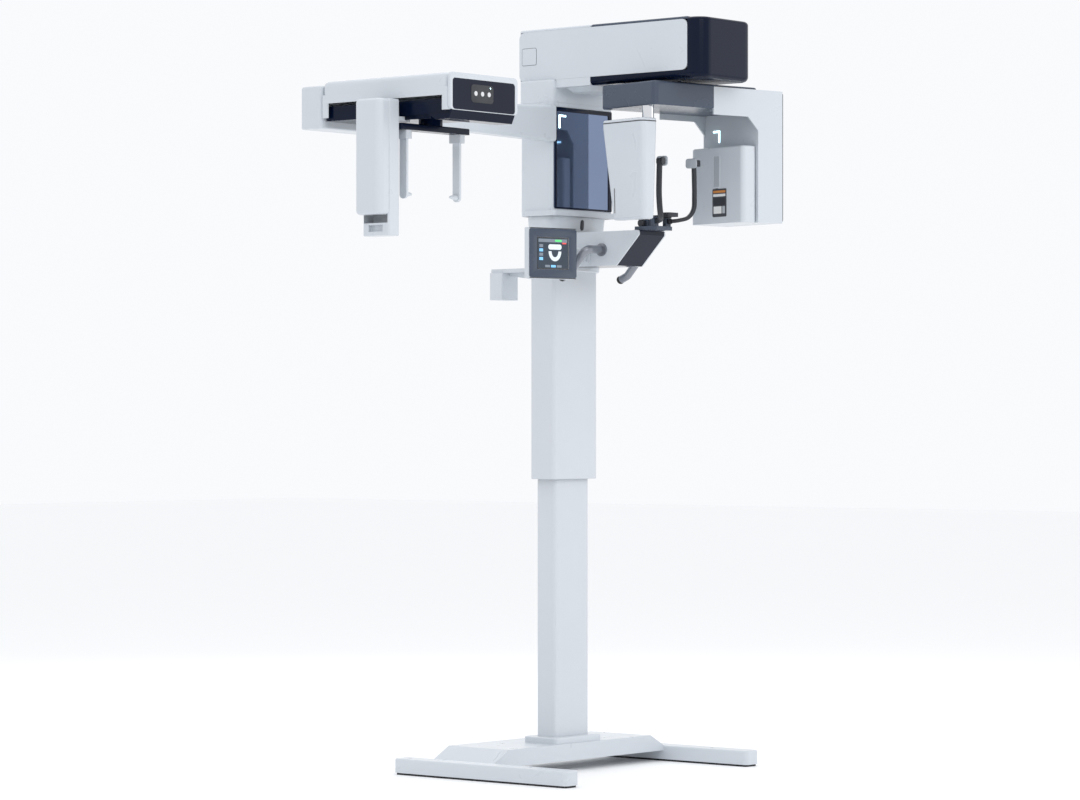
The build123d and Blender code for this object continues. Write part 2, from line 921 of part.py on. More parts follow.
# ================================================================ control display
hinge_at = (0, display_thick + 14)
display_mid = (display_bottom + display_top) / 2
with BuildPart() as display_housing:
    block(display, both(display_half), (0, display_thick), (display_bottom, display_top), 8)
    fillet(display_housing.edges().group_by(Axis.Z)[-1], 3)
    fillet(display_housing.edges().group_by(Axis.Z)[0], 3)
    block(
        display,
        both(screen_half + seam),
        (0, 6),
        grow((display_mid, display_mid), screen_height / 2 + seam),
        0,
        Mode.SUBTRACT,
    )
    block(display, both(14), (display_thick, display_thick + 14), grow((display_mid, display_mid), 20))
    disc(display, hinge_at, 11, grow((display_mid, display_mid), 20))
    disc(display, hinge_at, 5 + running_gap, grow((display_mid, display_mid), 20), Mode.SUBTRACT)
save(display_housing, "display_housing")

with BuildPart() as display_screen:
    block(display, both(screen_half), (0.6, 6), grow((display_mid, display_mid), screen_height / 2), 2)
save(display_screen, "display_screen")

hinge_point = display.from_local_coords((hinge_at[0], hinge_at[1], 0))
with BuildPart() as display_bracket:
    disc(display, hinge_at, 5, grow((display_mid, display_mid), 28))
    for low in (display_mid - 28, display_mid + 20 + body_gap):
        block(
            floor,
            (hinge_point.X - 12, hinge_point.X + 40),
            grow((hinge_point.Y, hinge_point.Y), 12),
            (low, low + 8 - body_gap),
            6,
        )
    block(
        floor,
        (hinge_point.X + 30, -support_half),
        grow((hinge_point.Y, hinge_point.Y), 12),
        grow((display_mid, display_mid), 18),
        4,
    )
    block(
        floor,
        (hinge_point.X + 22, hinge_point.X + 48),
        grow((hinge_point.Y, hinge_point.Y), 12),
        grow((display_mid, display_mid), 28 + body_gap),
        4,
    )
    block(
        floor,
        (-support_half - 6, -support_half),
        grow((hinge_point.Y, hinge_point.Y), 24),
        grow((display_mid, display_mid), 26),
    )
save(display_bracket, "display_bracket")

# ================================================================ cephalometric unit
with BuildPart() as ceph_arm:
    prism(
        Plane.XZ.offset(-ceph_arm_y[1]),
        [
            (-carriage_half, 1934),
            (-carriage_half, 2044),
            (-carriage_half - 60, 2040),
            (ceph_inner + 2, 2024),
            (ceph_inner + 2, 1946),
        ],
        span(ceph_arm_y),
    )
    fillet(ceph_arm.edges().filter_by(Plane.XZ).filter_by(lambda e: e.length > 300), 9)
    prism(
        Plane.XZ.offset(-ceph_arm_y[1] + 5),
        [
            (-carriage_half - 6, 1941),
            (-carriage_half - 6, 2037),
            (-carriage_half - 60, 2034),
            (ceph_inner + 8, 2018),
            (ceph_inner + 8, 1952),
        ],
        span(ceph_arm_y) - 10,
        0,
        Mode.SUBTRACT,
    )
save(ceph_arm, "ceph_arm")

ceph_x = (ceph_outer, ceph_inner)
body_x = grow(ceph_x, -14)
rear_box_front = ceph_rear - rear_box_depth
cover_y = (ceph_front + 8, rear_box_front - seam)
frame_y = grow(cover_y, -cover_wall - seam)
bridge_x = (body_x[1] - 60, body_x[1] - 8)
socket_y = (ceph_arm_y[0], ceph_rear - cover_wall - 9)
scan_y = (sensor_depth[0] - scan_travel, sensor_depth[1] + scan_travel)
scan_rail_x = (body_x[0] + 8, body_x[0] + 20)
scan_rail_z = (ceph_under - 5, ceph_under + 6)
socket_z = (1946, 2023)
bridge_z = (1946, 1962)
rear_box_z = (1908, 2030)
with BuildPart() as ceph_frame:
    block(floor, body_x, frame_y, (ceph_under + 6, ceph_skirt - 8), 6)
    block(
        floor,
        (body_x[0] + 40, body_x[1] - 40),
        (ceph_front + 60, rear_box_front - 40),
        (ceph_under + 10, ceph_skirt - 8),
        0,
        Mode.SUBTRACT,
    )
    block(floor, (body_x[1] - 60, ceph_inner - cover_wall - seam), socket_y, socket_z)
    block(floor, (ceph_inner - 20, ceph_inner + 2), ceph_arm_y, socket_z)
    block(floor, scan_rail_x, scan_y, scan_rail_z)
    block(floor, bridge_x, (frame_y[1] - 50, ceph_arm_y[0] + 20), bridge_z)
    disc(floor, (cranio_x, cranio_y), 22, (ceph_under + 6, ceph_skirt - 8))
    pivot_hole = pivot_radius + running_gap
    disc(floor, (cranio_x, cranio_y), pivot_hole, (ceph_under, ceph_skirt - 14), Mode.SUBTRACT)
save(ceph_frame, "ceph_frame")

with BuildPart() as ceph_cover:
    block(floor, ceph_x, cover_y, (ceph_skirt, ceph_top), 22)
    fillet(ceph_cover.edges().group_by(Axis.Z)[-1], 16)
    for end_y in ((cover_y[0], cover_y[0] + 26), (cover_y[1] - 26, cover_y[1])):
        block(floor, ceph_x, end_y, (ceph_leg, ceph_skirt + 24), 8)
    inside_x = grow(ceph_x, -cover_wall)
    inside_y = grow(cover_y, -cover_wall)
    block(floor, inside_x, inside_y, (ceph_leg, ceph_top - 8), 18, Mode.SUBTRACT)
    block(
        floor,
        grow(bridge_x, seam),
        (cover_y[1] - cover_wall - 1, cover_y[1] + 1),
        (ceph_leg - 1, bridge_z[1] + seam),
        0,
        Mode.SUBTRACT,
    )
save(ceph_cover, "ceph_cover")

key_places = (-1092, -1064, -1036)
key_height = 1986
key_radius = 7
with BuildPart() as ceph_front_panel:
    block(floor, grow(ceph_x, -8), (ceph_front, cover_y[0] - seam), (ceph_leg, ceph_top - 14), 3)
    for key_x in key_places:
        with BuildSketch(Plane.XZ.offset(-ceph_front)) as key_hole:
            with Locations((key_x, key_height)):
                Circle(key_radius + body_gap)
        extrude(key_hole.sketch, amount=-6, mode=Mode.SUBTRACT)
save(ceph_front_panel, "ceph_front_panel")

for number, key_x in enumerate(key_places, start=1):
    with BuildPart() as key:
        with BuildSketch(Plane.XZ.offset(-ceph_front + 2)) as cap:
            with Locations((key_x, key_height)):
                Circle(key_radius)
        extrude(cap.sketch, amount=-(2 + 6 - key_travel - 0.4))
        fillet(key.faces().sort_by(Axis.Y)[0].edges(), 0.8)
    save(key, f"key_{number}")

belly_bottom = 1912
belly_top = ceph_under + 6 - seam
belly_back = ceph_front + 88
belly_profile = [
    (ceph_front + 1, ceph_leg - seam),
    (ceph_front + 12, belly_bottom),
    (ceph_front + 62, belly_bottom),
    (belly_back, ceph_under + 5),
    (belly_back, belly_top),
    (ceph_front + 10 - seam, belly_top),
    (ceph_front + 10 - seam, ceph_leg - seam),
]
with BuildPart() as ceph_belly:
    prism(Plane.YZ.offset(ceph_outer + 10), belly_profile, ceph_inner - ceph_outer - 20)
save(ceph_belly, "ceph_belly")

with BuildPart() as ceph_rear_box:
    block(floor, ceph_x, (rear_box_front, ceph_rear), rear_box_z, 14)
    fillet(ceph_rear_box.edges().group_by(Axis.Z)[-1], 8)
    fillet(ceph_rear_box.edges().group_by(Axis.Z)[0], 5)
    inside_y = grow((rear_box_front, ceph_rear), -cover_wall)
    block(floor, inside_x, inside_y, grow(rear_box_z, -6), 8, Mode.SUBTRACT)
    arm_hole_x = (ceph_inner - 10, ceph_inner + 3)
    arm_hole_z = (socket_z[0] - seam, socket_z[1] + 1 + seam)
    block(floor, arm_hole_x, grow(ceph_arm_y, seam), arm_hole_z, 0, Mode.SUBTRACT)
    block(
        floor,
        grow(bridge_x, seam),
        (rear_box_front - 1, rear_box_front + cover_wall + 1),
        grow(bridge_z, seam),
        0,
        Mode.SUBTRACT,
    )
save(ceph_rear_box, "ceph_rear_box")

sensor_split = sensor_inner - 46
with BuildPart() as sensor_box:
    block(floor, (sensor_split, sensor_inner), sensor_depth, (sensor_bottom, sensor_top), 7)
    fillet(sensor_box.edges().group_by(Axis.Z)[-1], 4)
    fillet(sensor_box.edges().group_by(Axis.Z)[0], 4)
    block(
        floor,
        (sensor_split - 1, sensor_inner - cover_wall),
        grow(sensor_depth, -cover_wall),
        (sensor_bottom + 36, sensor_top - cover_wall - 2),
        4,
        Mode.SUBTRACT,
    )
    block(
        floor,
        (sensor_split - 1, sensor_split + 12),
        grow(sensor_depth, -22),
        (sensor_bottom + 12, sensor_bottom + 30),
        4,
        Mode.SUBTRACT,
    )
    shoe_y = grow(sensor_depth, -12)
    shoe_z = (scan_rail_z[0] - 5, scan_rail_z[1] - 2)
    block(floor, (sensor_inner + seam, scan_rail_x[1] + 10), shoe_y, shoe_z, 1)
    block(
        floor,
        grow(scan_rail_x, body_gap),
        grow(sensor_depth, 10),
        (scan_rail_z[0] - body_gap, scan_rail_z[1] + 1),
        0,
        Mode.SUBTRACT,
    )
save(sensor_box, "sensor_box")

with BuildPart() as sensor_cover:
    cover_x = (sensor_outer, sensor_split - seam)
    block(floor, (sensor_outer, sensor_split + 20), sensor_depth, (1650, sensor_top), 20)
    fillet(sensor_cover.edges().group_by(Axis.Z)[-1], 12)
    fillet(sensor_cover.edges().group_by(Axis.Z)[0], 12)
    open_side = (cover_x[1], sensor_split + 21)
    block(floor, open_side, grow(sensor_depth, 1), (1649, sensor_top + 1), 0, Mode.SUBTRACT)
    block(
        floor,
        (sensor_outer + cover_wall, sensor_split + 1),
        grow(sensor_depth, -8),
        (1662, sensor_top - 12),
        10,
        Mode.SUBTRACT,
    )
save(sensor_cover, "sensor_cover")

strip_y = (middle(sensor_depth), middle(sensor_depth))
with BuildPart() as sensor_strip:
    block(floor, (sensor_inner - 16, sensor_inner - cover_wall), grow(strip_y, 8), (1660, 1900))
    block(floor, (sensor_inner - 22, sensor_inner - 16), grow(strip_y, 20), (1655, 1905))
save(sensor_strip, "sensor_strip")

with BuildPart() as craniostat_bar:
    bar_x = (cranio_x - bar_half, cranio_x + bar_half)
    block(floor, bar_x, grow((cranio_y, cranio_y), bar_width), (bar_bottom, bar_top), 8)
    fillet(craniostat_bar.edges().group_by(Axis.Z)[-1], 3)
    disc(floor, (cranio_x, cranio_y), 34, (bar_top - 1, ceph_under + 6 - body_gap))
    disc(floor, (cranio_x, cranio_y), pivot_radius, (bar_top, ceph_skirt - 16))
    for side in (-1, 1):
        slot_x = (cranio_x + side * (ear_half - ear_close - 12), cranio_x + side * (ear_half + ear_open + 8))
        block(floor, slot_x, grow((cranio_y, cranio_y), 4), (bar_bottom, bar_bottom + 9), 0, Mode.SUBTRACT)
save(craniostat_bar, "craniostat_bar")


def ear_arm(side, name):
    """One hanging arm with a cone that points at the other arm."""
    place = cranio_x + side * ear_half
    top = bar_bottom - body_gap
    with BuildPart() as arm:
        block(floor, grow((place, place), 12), grow((cranio_y, cranio_y), 21), (top - 24, top), 4)
        slider_y = grow((cranio_y, cranio_y), 4 - body_gap)
        block(floor, grow((place, place), 7), slider_y, (top, bar_bottom + 8.7))
        block(floor, grow((place, place), 4), grow((cranio_y, cranio_y), 13), (tip_height, top - 20))
        with BuildSketch(Plane.YZ.offset(place - 4)) as end:
            with Locations((cranio_y, tip_height)):
                Circle(13)
        extrude(end.sketch, amount=8)
        inward = Plane(origin=(place - side * 4, cranio_y, tip_height), z_dir=(-side, 0, 0))
        with BuildSketch(inward) as base:
            Circle(9)
        with BuildSketch(inward.offset(tip_length - 4)) as point:
            Circle(3.5)
        loft([base.sketch, point.sketch])
        fillet(arm.edges().filter_by(GeomType.CIRCLE).sort_by(Axis.X)[0 if side > 0 else -1], 2.5)
    save(arm, name)


ear_arm(-1, "ear_arm_left")
ear_arm(1, "ear_arm_right")
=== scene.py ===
import json
import math

import bmesh
import bpy
from mathutils import Matrix, Vector
from mathutils.bvhtree import BVHTree


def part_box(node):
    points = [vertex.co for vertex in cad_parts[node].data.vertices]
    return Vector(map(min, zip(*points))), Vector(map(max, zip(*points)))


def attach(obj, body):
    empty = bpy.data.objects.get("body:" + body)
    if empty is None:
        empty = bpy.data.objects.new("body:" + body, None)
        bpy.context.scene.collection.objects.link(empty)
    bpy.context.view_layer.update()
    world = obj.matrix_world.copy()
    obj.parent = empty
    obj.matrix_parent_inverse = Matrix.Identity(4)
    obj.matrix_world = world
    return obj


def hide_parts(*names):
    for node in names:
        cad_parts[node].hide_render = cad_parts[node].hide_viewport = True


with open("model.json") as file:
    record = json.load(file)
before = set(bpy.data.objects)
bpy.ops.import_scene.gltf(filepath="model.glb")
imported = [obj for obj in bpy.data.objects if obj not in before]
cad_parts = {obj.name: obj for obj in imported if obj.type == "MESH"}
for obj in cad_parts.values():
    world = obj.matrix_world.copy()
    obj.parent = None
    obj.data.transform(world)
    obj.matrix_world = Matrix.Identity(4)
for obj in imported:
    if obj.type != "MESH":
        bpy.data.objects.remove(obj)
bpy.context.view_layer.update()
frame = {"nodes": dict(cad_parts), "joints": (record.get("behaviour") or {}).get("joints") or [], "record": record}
print("frame loaded:", len(frame["nodes"]), "nodes")

joints = {joint["name"]: joint for joint in frame["joints"]}
slotOf = {entry["node"]: entry["material_slot"] for entry in frame["record"]["subparts"]}

# ---- camera, floor and light

view = {
    "turn": -50.0,  # degrees, 0 looks along +Y
    "height": 1.067,
    "distance": 11.4,
    "aside": -0.0729,
    "lens": 122.47,
    "rise": 0.02315,
}


def makeCamera():
    turn = math.radians(view["turn"])
    ahead = Vector((-math.sin(turn), math.cos(turn), 0))
    right = Vector((math.cos(turn), math.sin(turn), 0))
    camera = bpy.data.objects.new("camera", bpy.data.cameras.new("camera"))
    camera.location = right * view["aside"] - ahead * view["distance"] + Vector((0, 0, view["height"]))
    camera.rotation_euler = (math.radians(90), 0, turn)
    camera.data.lens = view["lens"]
    camera.data.sensor_width = 36
    camera.data.shift_y = view["rise"]
    camera.data.clip_end = 100
    bpy.context.scene.collection.objects.link(camera)
    bpy.context.scene.camera = camera


studio = {
    "floorSize": 60.0,
    "floorColor": (0.97, 0.972, 0.975, 1),
    "skyColor": (0.97, 0.98, 1.0, 1),
    "skyStrength": 0.98,
    "lamps": [  # name, place, target, size, watts
        ("keyLamp", (-3.2, -5.2, 4.4), (-0.2, -0.2, 1.5), 3.2, 46),
        ("fillLamp", (3.4, -4.2, 2.2), (0, 0, 1.4), 3.6, 26),
        ("topLamp", (0.2, 0.6, 5.6), (0, 0, 1), 4.0, 42),
        ("rimLamp", (3.4, 3.8, 3.0), (0, 0, 1.5), 2.4, 20),
    ],
}


def makeStudio():
    half = studio["floorSize"] / 2
    mesh = bpy.data.meshes.new("studioFloor")
    corners = [(-half, -half, 0), (half, -half, 0), (half, half, 0), (-half, half, 0)]
    mesh.from_pydata(corners, [], [(0, 1, 2, 3)])
    ground = bpy.data.objects.new("studioFloor", mesh)
    bpy.context.scene.collection.objects.link(ground)
    paint = bpy.data.materials.new("paleFloor")
    paint.use_nodes = True
    shader = paint.node_tree.nodes["Principled BSDF"]
    shader.inputs["Base Color"].default_value = studio["floorColor"]
    shader.inputs["Roughness"].default_value = 0.75
    mesh.materials.append(paint)
    world = bpy.data.worlds.new("studioSky")
    world.use_nodes = True
    world.node_tree.nodes["Background"].inputs["Color"].default_value = studio["skyColor"]
    world.node_tree.nodes["Background"].inputs["Strength"].default_value = studio["skyStrength"]
    bpy.context.scene.world = world
    for name, place, target, size, watts in studio["lamps"]:
        lamp = bpy.data.objects.new(name, bpy.data.lights.new(name, "AREA"))
        lamp.data.size = size
        lamp.data.energy = watts
        lamp.location = place
        lamp.rotation_euler = (Vector(target) - Vector(place)).to_track_quat("-Z", "Y").to_euler()
        bpy.context.scene.collection.objects.link(lamp)
    bpy.context.scene.view_settings.view_transform = "Standard"


makeCamera()
makeStudio()
print("camera and studio ready")

# ---- finishes


# A moulded, painted or metal finish: broad tone drift, fine grain in the bump, uneven gloss.
def makeFinish(
    name, color, rough, metal=0.0, coat=0.0, drift=0.04, grain=900.0, bump=0.02, streak=None, shine=0.5
):
    paint = bpy.data.materials.new(name)
    paint.use_nodes = True
    tree = paint.node_tree
    shader = tree.nodes["Principled BSDF"]
    place = tree.nodes.new("ShaderNodeTexCoord")
    stretch = tree.nodes.new("ShaderNodeMapping")
    stretch.inputs["Scale"].default_value = streak or (1, 1, 1)
    tree.links.new(place.outputs["Object"], stretch.inputs["Vector"])
    cloud = tree.nodes.new("ShaderNodeTexNoise")
    cloud.inputs["Scale"].default_value = 3.5
    cloud.inputs["Detail"].default_value = 4
    tree.links.new(place.outputs["Object"], cloud.inputs["Vector"])
    tone = tree.nodes.new("ShaderNodeMix")
    tone.data_type = "RGBA"
    tone.inputs["A"].default_value = [max(c * (1 - drift), 0) for c in color] + [1]
    tone.inputs["B"].default_value = [min(c * (1 + drift), 1) for c in color] + [1]
    tree.links.new(cloud.outputs["Fac"], tone.inputs["Factor"])
    tree.links.new(tone.outputs["Result"], shader.inputs["Base Color"])
    speck = tree.nodes.new("ShaderNodeTexNoise")
    speck.inputs["Scale"].default_value = grain
    speck.inputs["Detail"].default_value = 2
    tree.links.new(stretch.outputs["Vector"], speck.inputs["Vector"])
    smear = tree.nodes.new("ShaderNodeTexNoise")
    smear.inputs["Scale"].default_value = 14
    smear.inputs["Detail"].default_value = 6
    smear.inputs["Distortion"].default_value = 0.8
    tree.links.new(stretch.outputs["Vector"], smear.inputs["Vector"])
    gloss = tree.nodes.new("ShaderNodeMapRange")
    gloss.inputs["From Min"].default_value = 0.3
    gloss.inputs["From Max"].default_value = 0.7
    gloss.inputs["To Min"].default_value = max(rough * 0.82, 0.01)
    gloss.inputs["To Max"].default_value = min(rough * 1.22, 1)
    tree.links.new(smear.outputs["Fac"], gloss.inputs["Value"])
    tree.links.new(gloss.outputs["Result"], shader.inputs["Roughness"])
    relief = tree.nodes.new("ShaderNodeBump")
    relief.inputs["Strength"].default_value = bump
    relief.inputs["Distance"].default_value = 0.0006
    tree.links.new(speck.outputs["Fac"], relief.inputs["Height"])
    tree.links.new(relief.outputs["Normal"], shader.inputs["Normal"])
    shader.inputs["Metallic"].default_value = metal
    shader.inputs["Coat Weight"].default_value = coat
    shader.inputs["Coat Roughness"].default_value = 0.06
    shader.inputs["Specular IOR Level"].default_value = shine
    return paint


# A lit diffuser whose brightness varies a little from place to place.
def makeGlow(name, color, strength):
    paint = bpy.data.materials.new(name)
    paint.use_nodes = True
    tree = paint.node_tree
    shader = tree.nodes["Principled BSDF"]
    place = tree.nodes.new("ShaderNodeTexCoord")
    cloud = tree.nodes.new("ShaderNodeTexNoise")
    cloud.inputs["Scale"].default_value = 120
    tree.links.new(place.outputs["Object"], cloud.inputs["Vector"])
    tone = tree.nodes.new("ShaderNodeMix")
    tone.data_type = "RGBA"
    tone.inputs["A"].default_value = [c * 0.85 for c in color] + [1]
    tone.inputs["B"].default_value = list(color) + [1]
    tree.links.new(cloud.outputs["Fac"], tone.inputs["Factor"])
    tree.links.new(tone.outputs["Result"], shader.inputs["Base Color"])
    tree.links.new(tone.outputs["Result"], shader.inputs["Emission Color"])
    shader.inputs["Emission Strength"].default_value = strength
    shader.inputs["Roughness"].default_value = 0.4
    return paint


finishes = {
    "white_paint": makeFinish("coolWhiteCoat", (0.60, 0.64, 0.685), 0.32, coat=0.2, drift=0.02),
    "column_white": makeFinish(
        "columnPowderCoat", (0.61, 0.645, 0.685), 0.46, drift=0.02, grain=1400, bump=0.06
    ),
    "navy_gloss": makeFinish("navyGloss", (0.0015, 0.0055, 0.021), 0.12, drift=0.3, bump=0.004, shine=0.16),
    "mirror_navy": makeFinish("navyMirror", (0.13, 0.165, 0.25), 0.03, metal=1.0, drift=0.08, bump=0.001),
    "slate": makeFinish(
        "slateGloss", (0.058, 0.076, 0.112), 0.24, coat=0.05, drift=0.06, bump=0.012, shine=0.35
    ),
    "rubber_black": makeFinish("blackRubber", (0.018, 0.018, 0.02), 0.72, drift=0.25, grain=500, bump=0.2),
    "steel": makeFinish("machinedSteel", (0.46, 0.47, 0.49), 0.36, metal=1.0, bump=0.05, streak=(1, 14, 1)),
    "aluminium": makeFinish(
        "satinAluminium", (0.62, 0.63, 0.65), 0.38, metal=1.0, bump=0.04, streak=(12, 1, 1)
    ),
    "chrome": makeFinish("polishedChrome", (0.72, 0.73, 0.75), 0.07, metal=1.0, drift=0.02, bump=0.002),
    "handle_grey": makeFinish(
        "metallicGrey", (0.25, 0.265, 0.30), 0.33, metal=0.75, coat=0.3, grain=2200, bump=0.05
    ),
    "screen": makeFinish("screenGlass", (0.006, 0.008, 0.012), 0.08, coat=0.6, drift=0.15, bump=0.002),
    "glass_tube": makeFinish("tubeGlass", (0.55, 0.62, 0.66), 0.08, coat=0.5, drift=0.05, bump=0.004),
    "dark_plastic": makeFinish("darkPlastic", (0.022, 0.025, 0.032), 0.5, drift=0.12, grain=700, bump=0.12),
    "copper_motor": makeFinish("motorBlack", (0.03, 0.03, 0.032), 0.45, metal=0.3, drift=0.15, bump=0.1),
    "nylon": makeFinish("naturalNylon", (0.68, 0.67, 0.60), 0.5, drift=0.04, bump=0.08),
}
extra = {
    "glowIce": makeGlow("iceLight", (0.62, 0.93, 1.0), 5.0),
    "shadowLine": makeFinish("shadowGap", (0.05, 0.055, 0.065), 0.6, drift=0.15, bump=0.05),
    "silver": makeFinish("silverKey", (0.66, 0.67, 0.69), 0.3, metal=0.9, bump=0.02),
    "orange": makeFinish("labelOrange", (0.62, 0.24, 0.05), 0.45, drift=0.06, bump=0.01),
    "paper": makeFinish("labelPaper", (0.78, 0.79, 0.78), 0.5, drift=0.03, bump=0.01),
    "lightGrey": makeFinish("padGrey", (0.42, 0.45, 0.49), 0.55, drift=0.05, grain=500, bump=0.12),
    "uiBlue": makeGlow("screenBlue", (0.16, 0.42, 0.72), 0.9),
    "uiPale": makeGlow("screenPale", (0.62, 0.68, 0.72), 0.55),
    "uiGreen": makeGlow("screenGreen", (0.08, 0.55, 0.16), 1.0),
    "uiRed": makeGlow("screenRed", (0.62, 0.07, 0.06), 1.0),
    "uiDark": makeGlow("screenDark", (0.02, 0.035, 0.055), 0.4),
    "uiGrey": makeGlow("screenGrey", (0.16, 0.19, 0.23), 0.6),
}
# Nodes whose colour differs from that of their slot.
repaint = {"ceph_frame": "navy_gloss", "ceph_front_panel": "navy_gloss", "rear_bracket": "column_white"}
for node, cadObject in frame["nodes"].items():
    cadObject.data.materials.clear()
    cadObject.data.materials.append(finishes[repaint.get(node, slotOf[node])])
print("finishes ready")

# ---- building blocks

facings = {  # local X runs to the viewer's right, local Y up, local Z out of the face
    "front": Matrix.Rotation(math.radians(90), 4, "X"),
    "left": Matrix.Rotation(math.radians(-90), 4, "Z") @ Matrix.Rotation(math.radians(90), 4, "X"),
    "back": Matrix.Rotation(math.radians(180), 4, "Z") @ Matrix.Rotation(math.radians(90), 4, "X"),
    "right": Matrix.Rotation(math.radians(90), 4, "Z") @ Matrix.Rotation(math.radians(90), 4, "X"),
    "up": Matrix.Identity(4),
    "down": Matrix.Rotation(math.radians(180), 4, "X"),
}


def onFace(base, spot, facing):
    return base @ Matrix.Translation(spot) @ facings[facing]


# A place on the node's own surface, found by looking at it along a heading; local Z leaves the surface.
def onSurface(node, base, start, heading, up=(0, 0, 1)):
    mesh = frame["nodes"][node].data
    tree = BVHTree.FromPolygons([v.co for v in mesh.vertices], [face.vertices[:] for face in mesh.polygons])
    ahead = (base.to_3x3() @ Vector(heading)).normalized()
    spot, normal = tree.ray_cast(base @ Vector(start), ahead)[:2]
    if normal.dot(ahead) > 0:
        normal = -normal
    side = Vector(up).cross(normal).normalized()
    placing = Matrix((side, normal.cross(side), normal)).transposed().to_4x4()
    placing.translation = spot
    return placing


# The corners of a CAD node measured along a turned frame.
def localBox(node, base):
    back = base.inverted()
    spots = [back @ vertex.co for vertex in frame["nodes"][node].data.vertices]
    low = Vector([min(spot[i] for spot in spots) for i in range(3)])
    high = Vector([max(spot[i] for spot in spots) for i in range(3)])
    return low, high


def roundedOutline(width, height, radius, centre=(0, 0), steps=6):
    points = []
    for cx, cy, start in (
        (width / 2 - radius, height / 2 - radius, 0),
        (-width / 2 + radius, height / 2 - radius, 90),
        (-width / 2 + radius, -height / 2 + radius, 180),
        (width / 2 - radius, -height / 2 + radius, 270),
    ):
        for step in range(steps + 1):
            angle = math.radians(start + 90 * step / steps)
            x = centre[0] + cx + radius * math.cos(angle)
            y = centre[1] + cy + radius * math.sin(angle)
            points.append((x, y))
    return points


def circleOutline(radius, centre=(0, 0), steps=32):
    turn = 2 * math.pi / steps
    x, y = centre
    return [(x + radius * math.cos(turn * k), y + radius * math.sin(turn * k)) for k in range(steps)]


def tidyMesh(mesh, sharp=32):
    shape = bmesh.new()
    shape.from_mesh(mesh)
    bmesh.ops.remove_doubles(shape, verts=shape.verts, dist=1e-6)
    bmesh.ops.recalc_face_normals(shape, faces=shape.faces)
    shape.to_mesh(mesh)
    shape.free()
    for face in mesh.polygons:
        face.use_smooth = True
    mesh.set_sharp_from_angle(angle=math.radians(sharp))


def meshPiece(name, mesh, finish):
    mesh.materials.clear()
    mesh.materials.append(finish)
    piece = bpy.data.objects.new(name, mesh)
    bpy.context.scene.collection.objects.link(piece)
    return piece


# A flat shape with holes, standing proud of a face by its depth, with softened edges.
def flatShape(name, outlines, depth, placing, finish, edge=0.0):
    curve = bpy.data.curves.new(name + "Curve", "CURVE")
    curve.dimensions = "2D"
    curve.fill_mode = "BOTH"
    curve.extrude = depth / 2 - edge
    curve.bevel_depth = edge
    curve.bevel_resolution = 2
    curve.offset = -edge
    for outline in outlines:
        line = curve.splines.new("POLY")
        line.points.add(len(outline) - 1)
        for point, (x, y) in zip(line.points, outline):
            point.co = (x, y, 0, 1)
        line.use_cyclic_u = True
    holder = bpy.data.objects.new(name + "Curve", curve)
    bpy.context.scene.collection.objects.link(holder)
    ready = holder.evaluated_get(bpy.context.evaluated_depsgraph_get())
    mesh = bpy.data.meshes.new_from_object(ready)
    bpy.data.objects.remove(holder)
    mesh.transform(placing @ Matrix.Translation((0, 0, depth / 2)))
    tidyMesh(mesh)
    return meshPiece(name, mesh, finish)


# A turned shape: a profile of (radius, height) spun round the local Z axis.
def turnedShape(name, profile, placing, finish, steps=40, flutes=0, fluteDepth=0.0):
    shape = bmesh.new()
    rings = []
    for radius, height in profile:
        ring = []
        for k in range(steps):
            angle = 2 * math.pi * k / steps
            reach = radius * (1 - fluteDepth * (0.5 + 0.5 * math.cos(angle * flutes))) if flutes else radius
            ring.append(shape.verts.new((reach * math.cos(angle), reach * math.sin(angle), height)))
        rings.append(ring)
    for low, high in zip(rings, rings[1:]):
        for k in range(steps):
            shape.faces.new((low[k], low[(k + 1) % steps], high[(k + 1) % steps], high[k]))
    shape.faces.new(rings[0])
    shape.faces.new(rings[-1])
    mesh = bpy.data.meshes.new(name)
    shape.to_mesh(mesh)
    shape.free()
    mesh.transform(placing)
    tidyMesh(mesh)
    return meshPiece(name, mesh, finish)


# Several parts of one piece, with their finishes kept.
def gather(name, parts):
    shape = bmesh.new()
    paints = []
    for part in parts:
        paint = part.data.materials[0]
        if paint not in paints:
            paints.append(paint)
        first = len(shape.faces)
        shape.from_mesh(part.data)
        shape.faces.ensure_lookup_table()
        for face in shape.faces[first:]:
            face.material_index = paints.index(paint)
        bpy.data.objects.remove(part)
    mesh = bpy.data.meshes.new(name)
    shape.to_mesh(mesh)
    shape.free()
    for paint in paints:
        mesh.materials.append(paint)
    mesh.set_sharp_from_angle(angle=math.radians(32))
    piece = bpy.data.objects.new(name, mesh)
    bpy.context.scene.collection.objects.link(piece)
    return piece


def finishPiece(piece, body):
    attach(piece, body)
    return piece


# ---- screws and vent slats, by Geometry Nodes


def addInput(tree, name, kind, value):
    socket = tree.interface.new_socket(name, in_out="INPUT", socket_type=kind)
    socket.default_value = value
    return socket


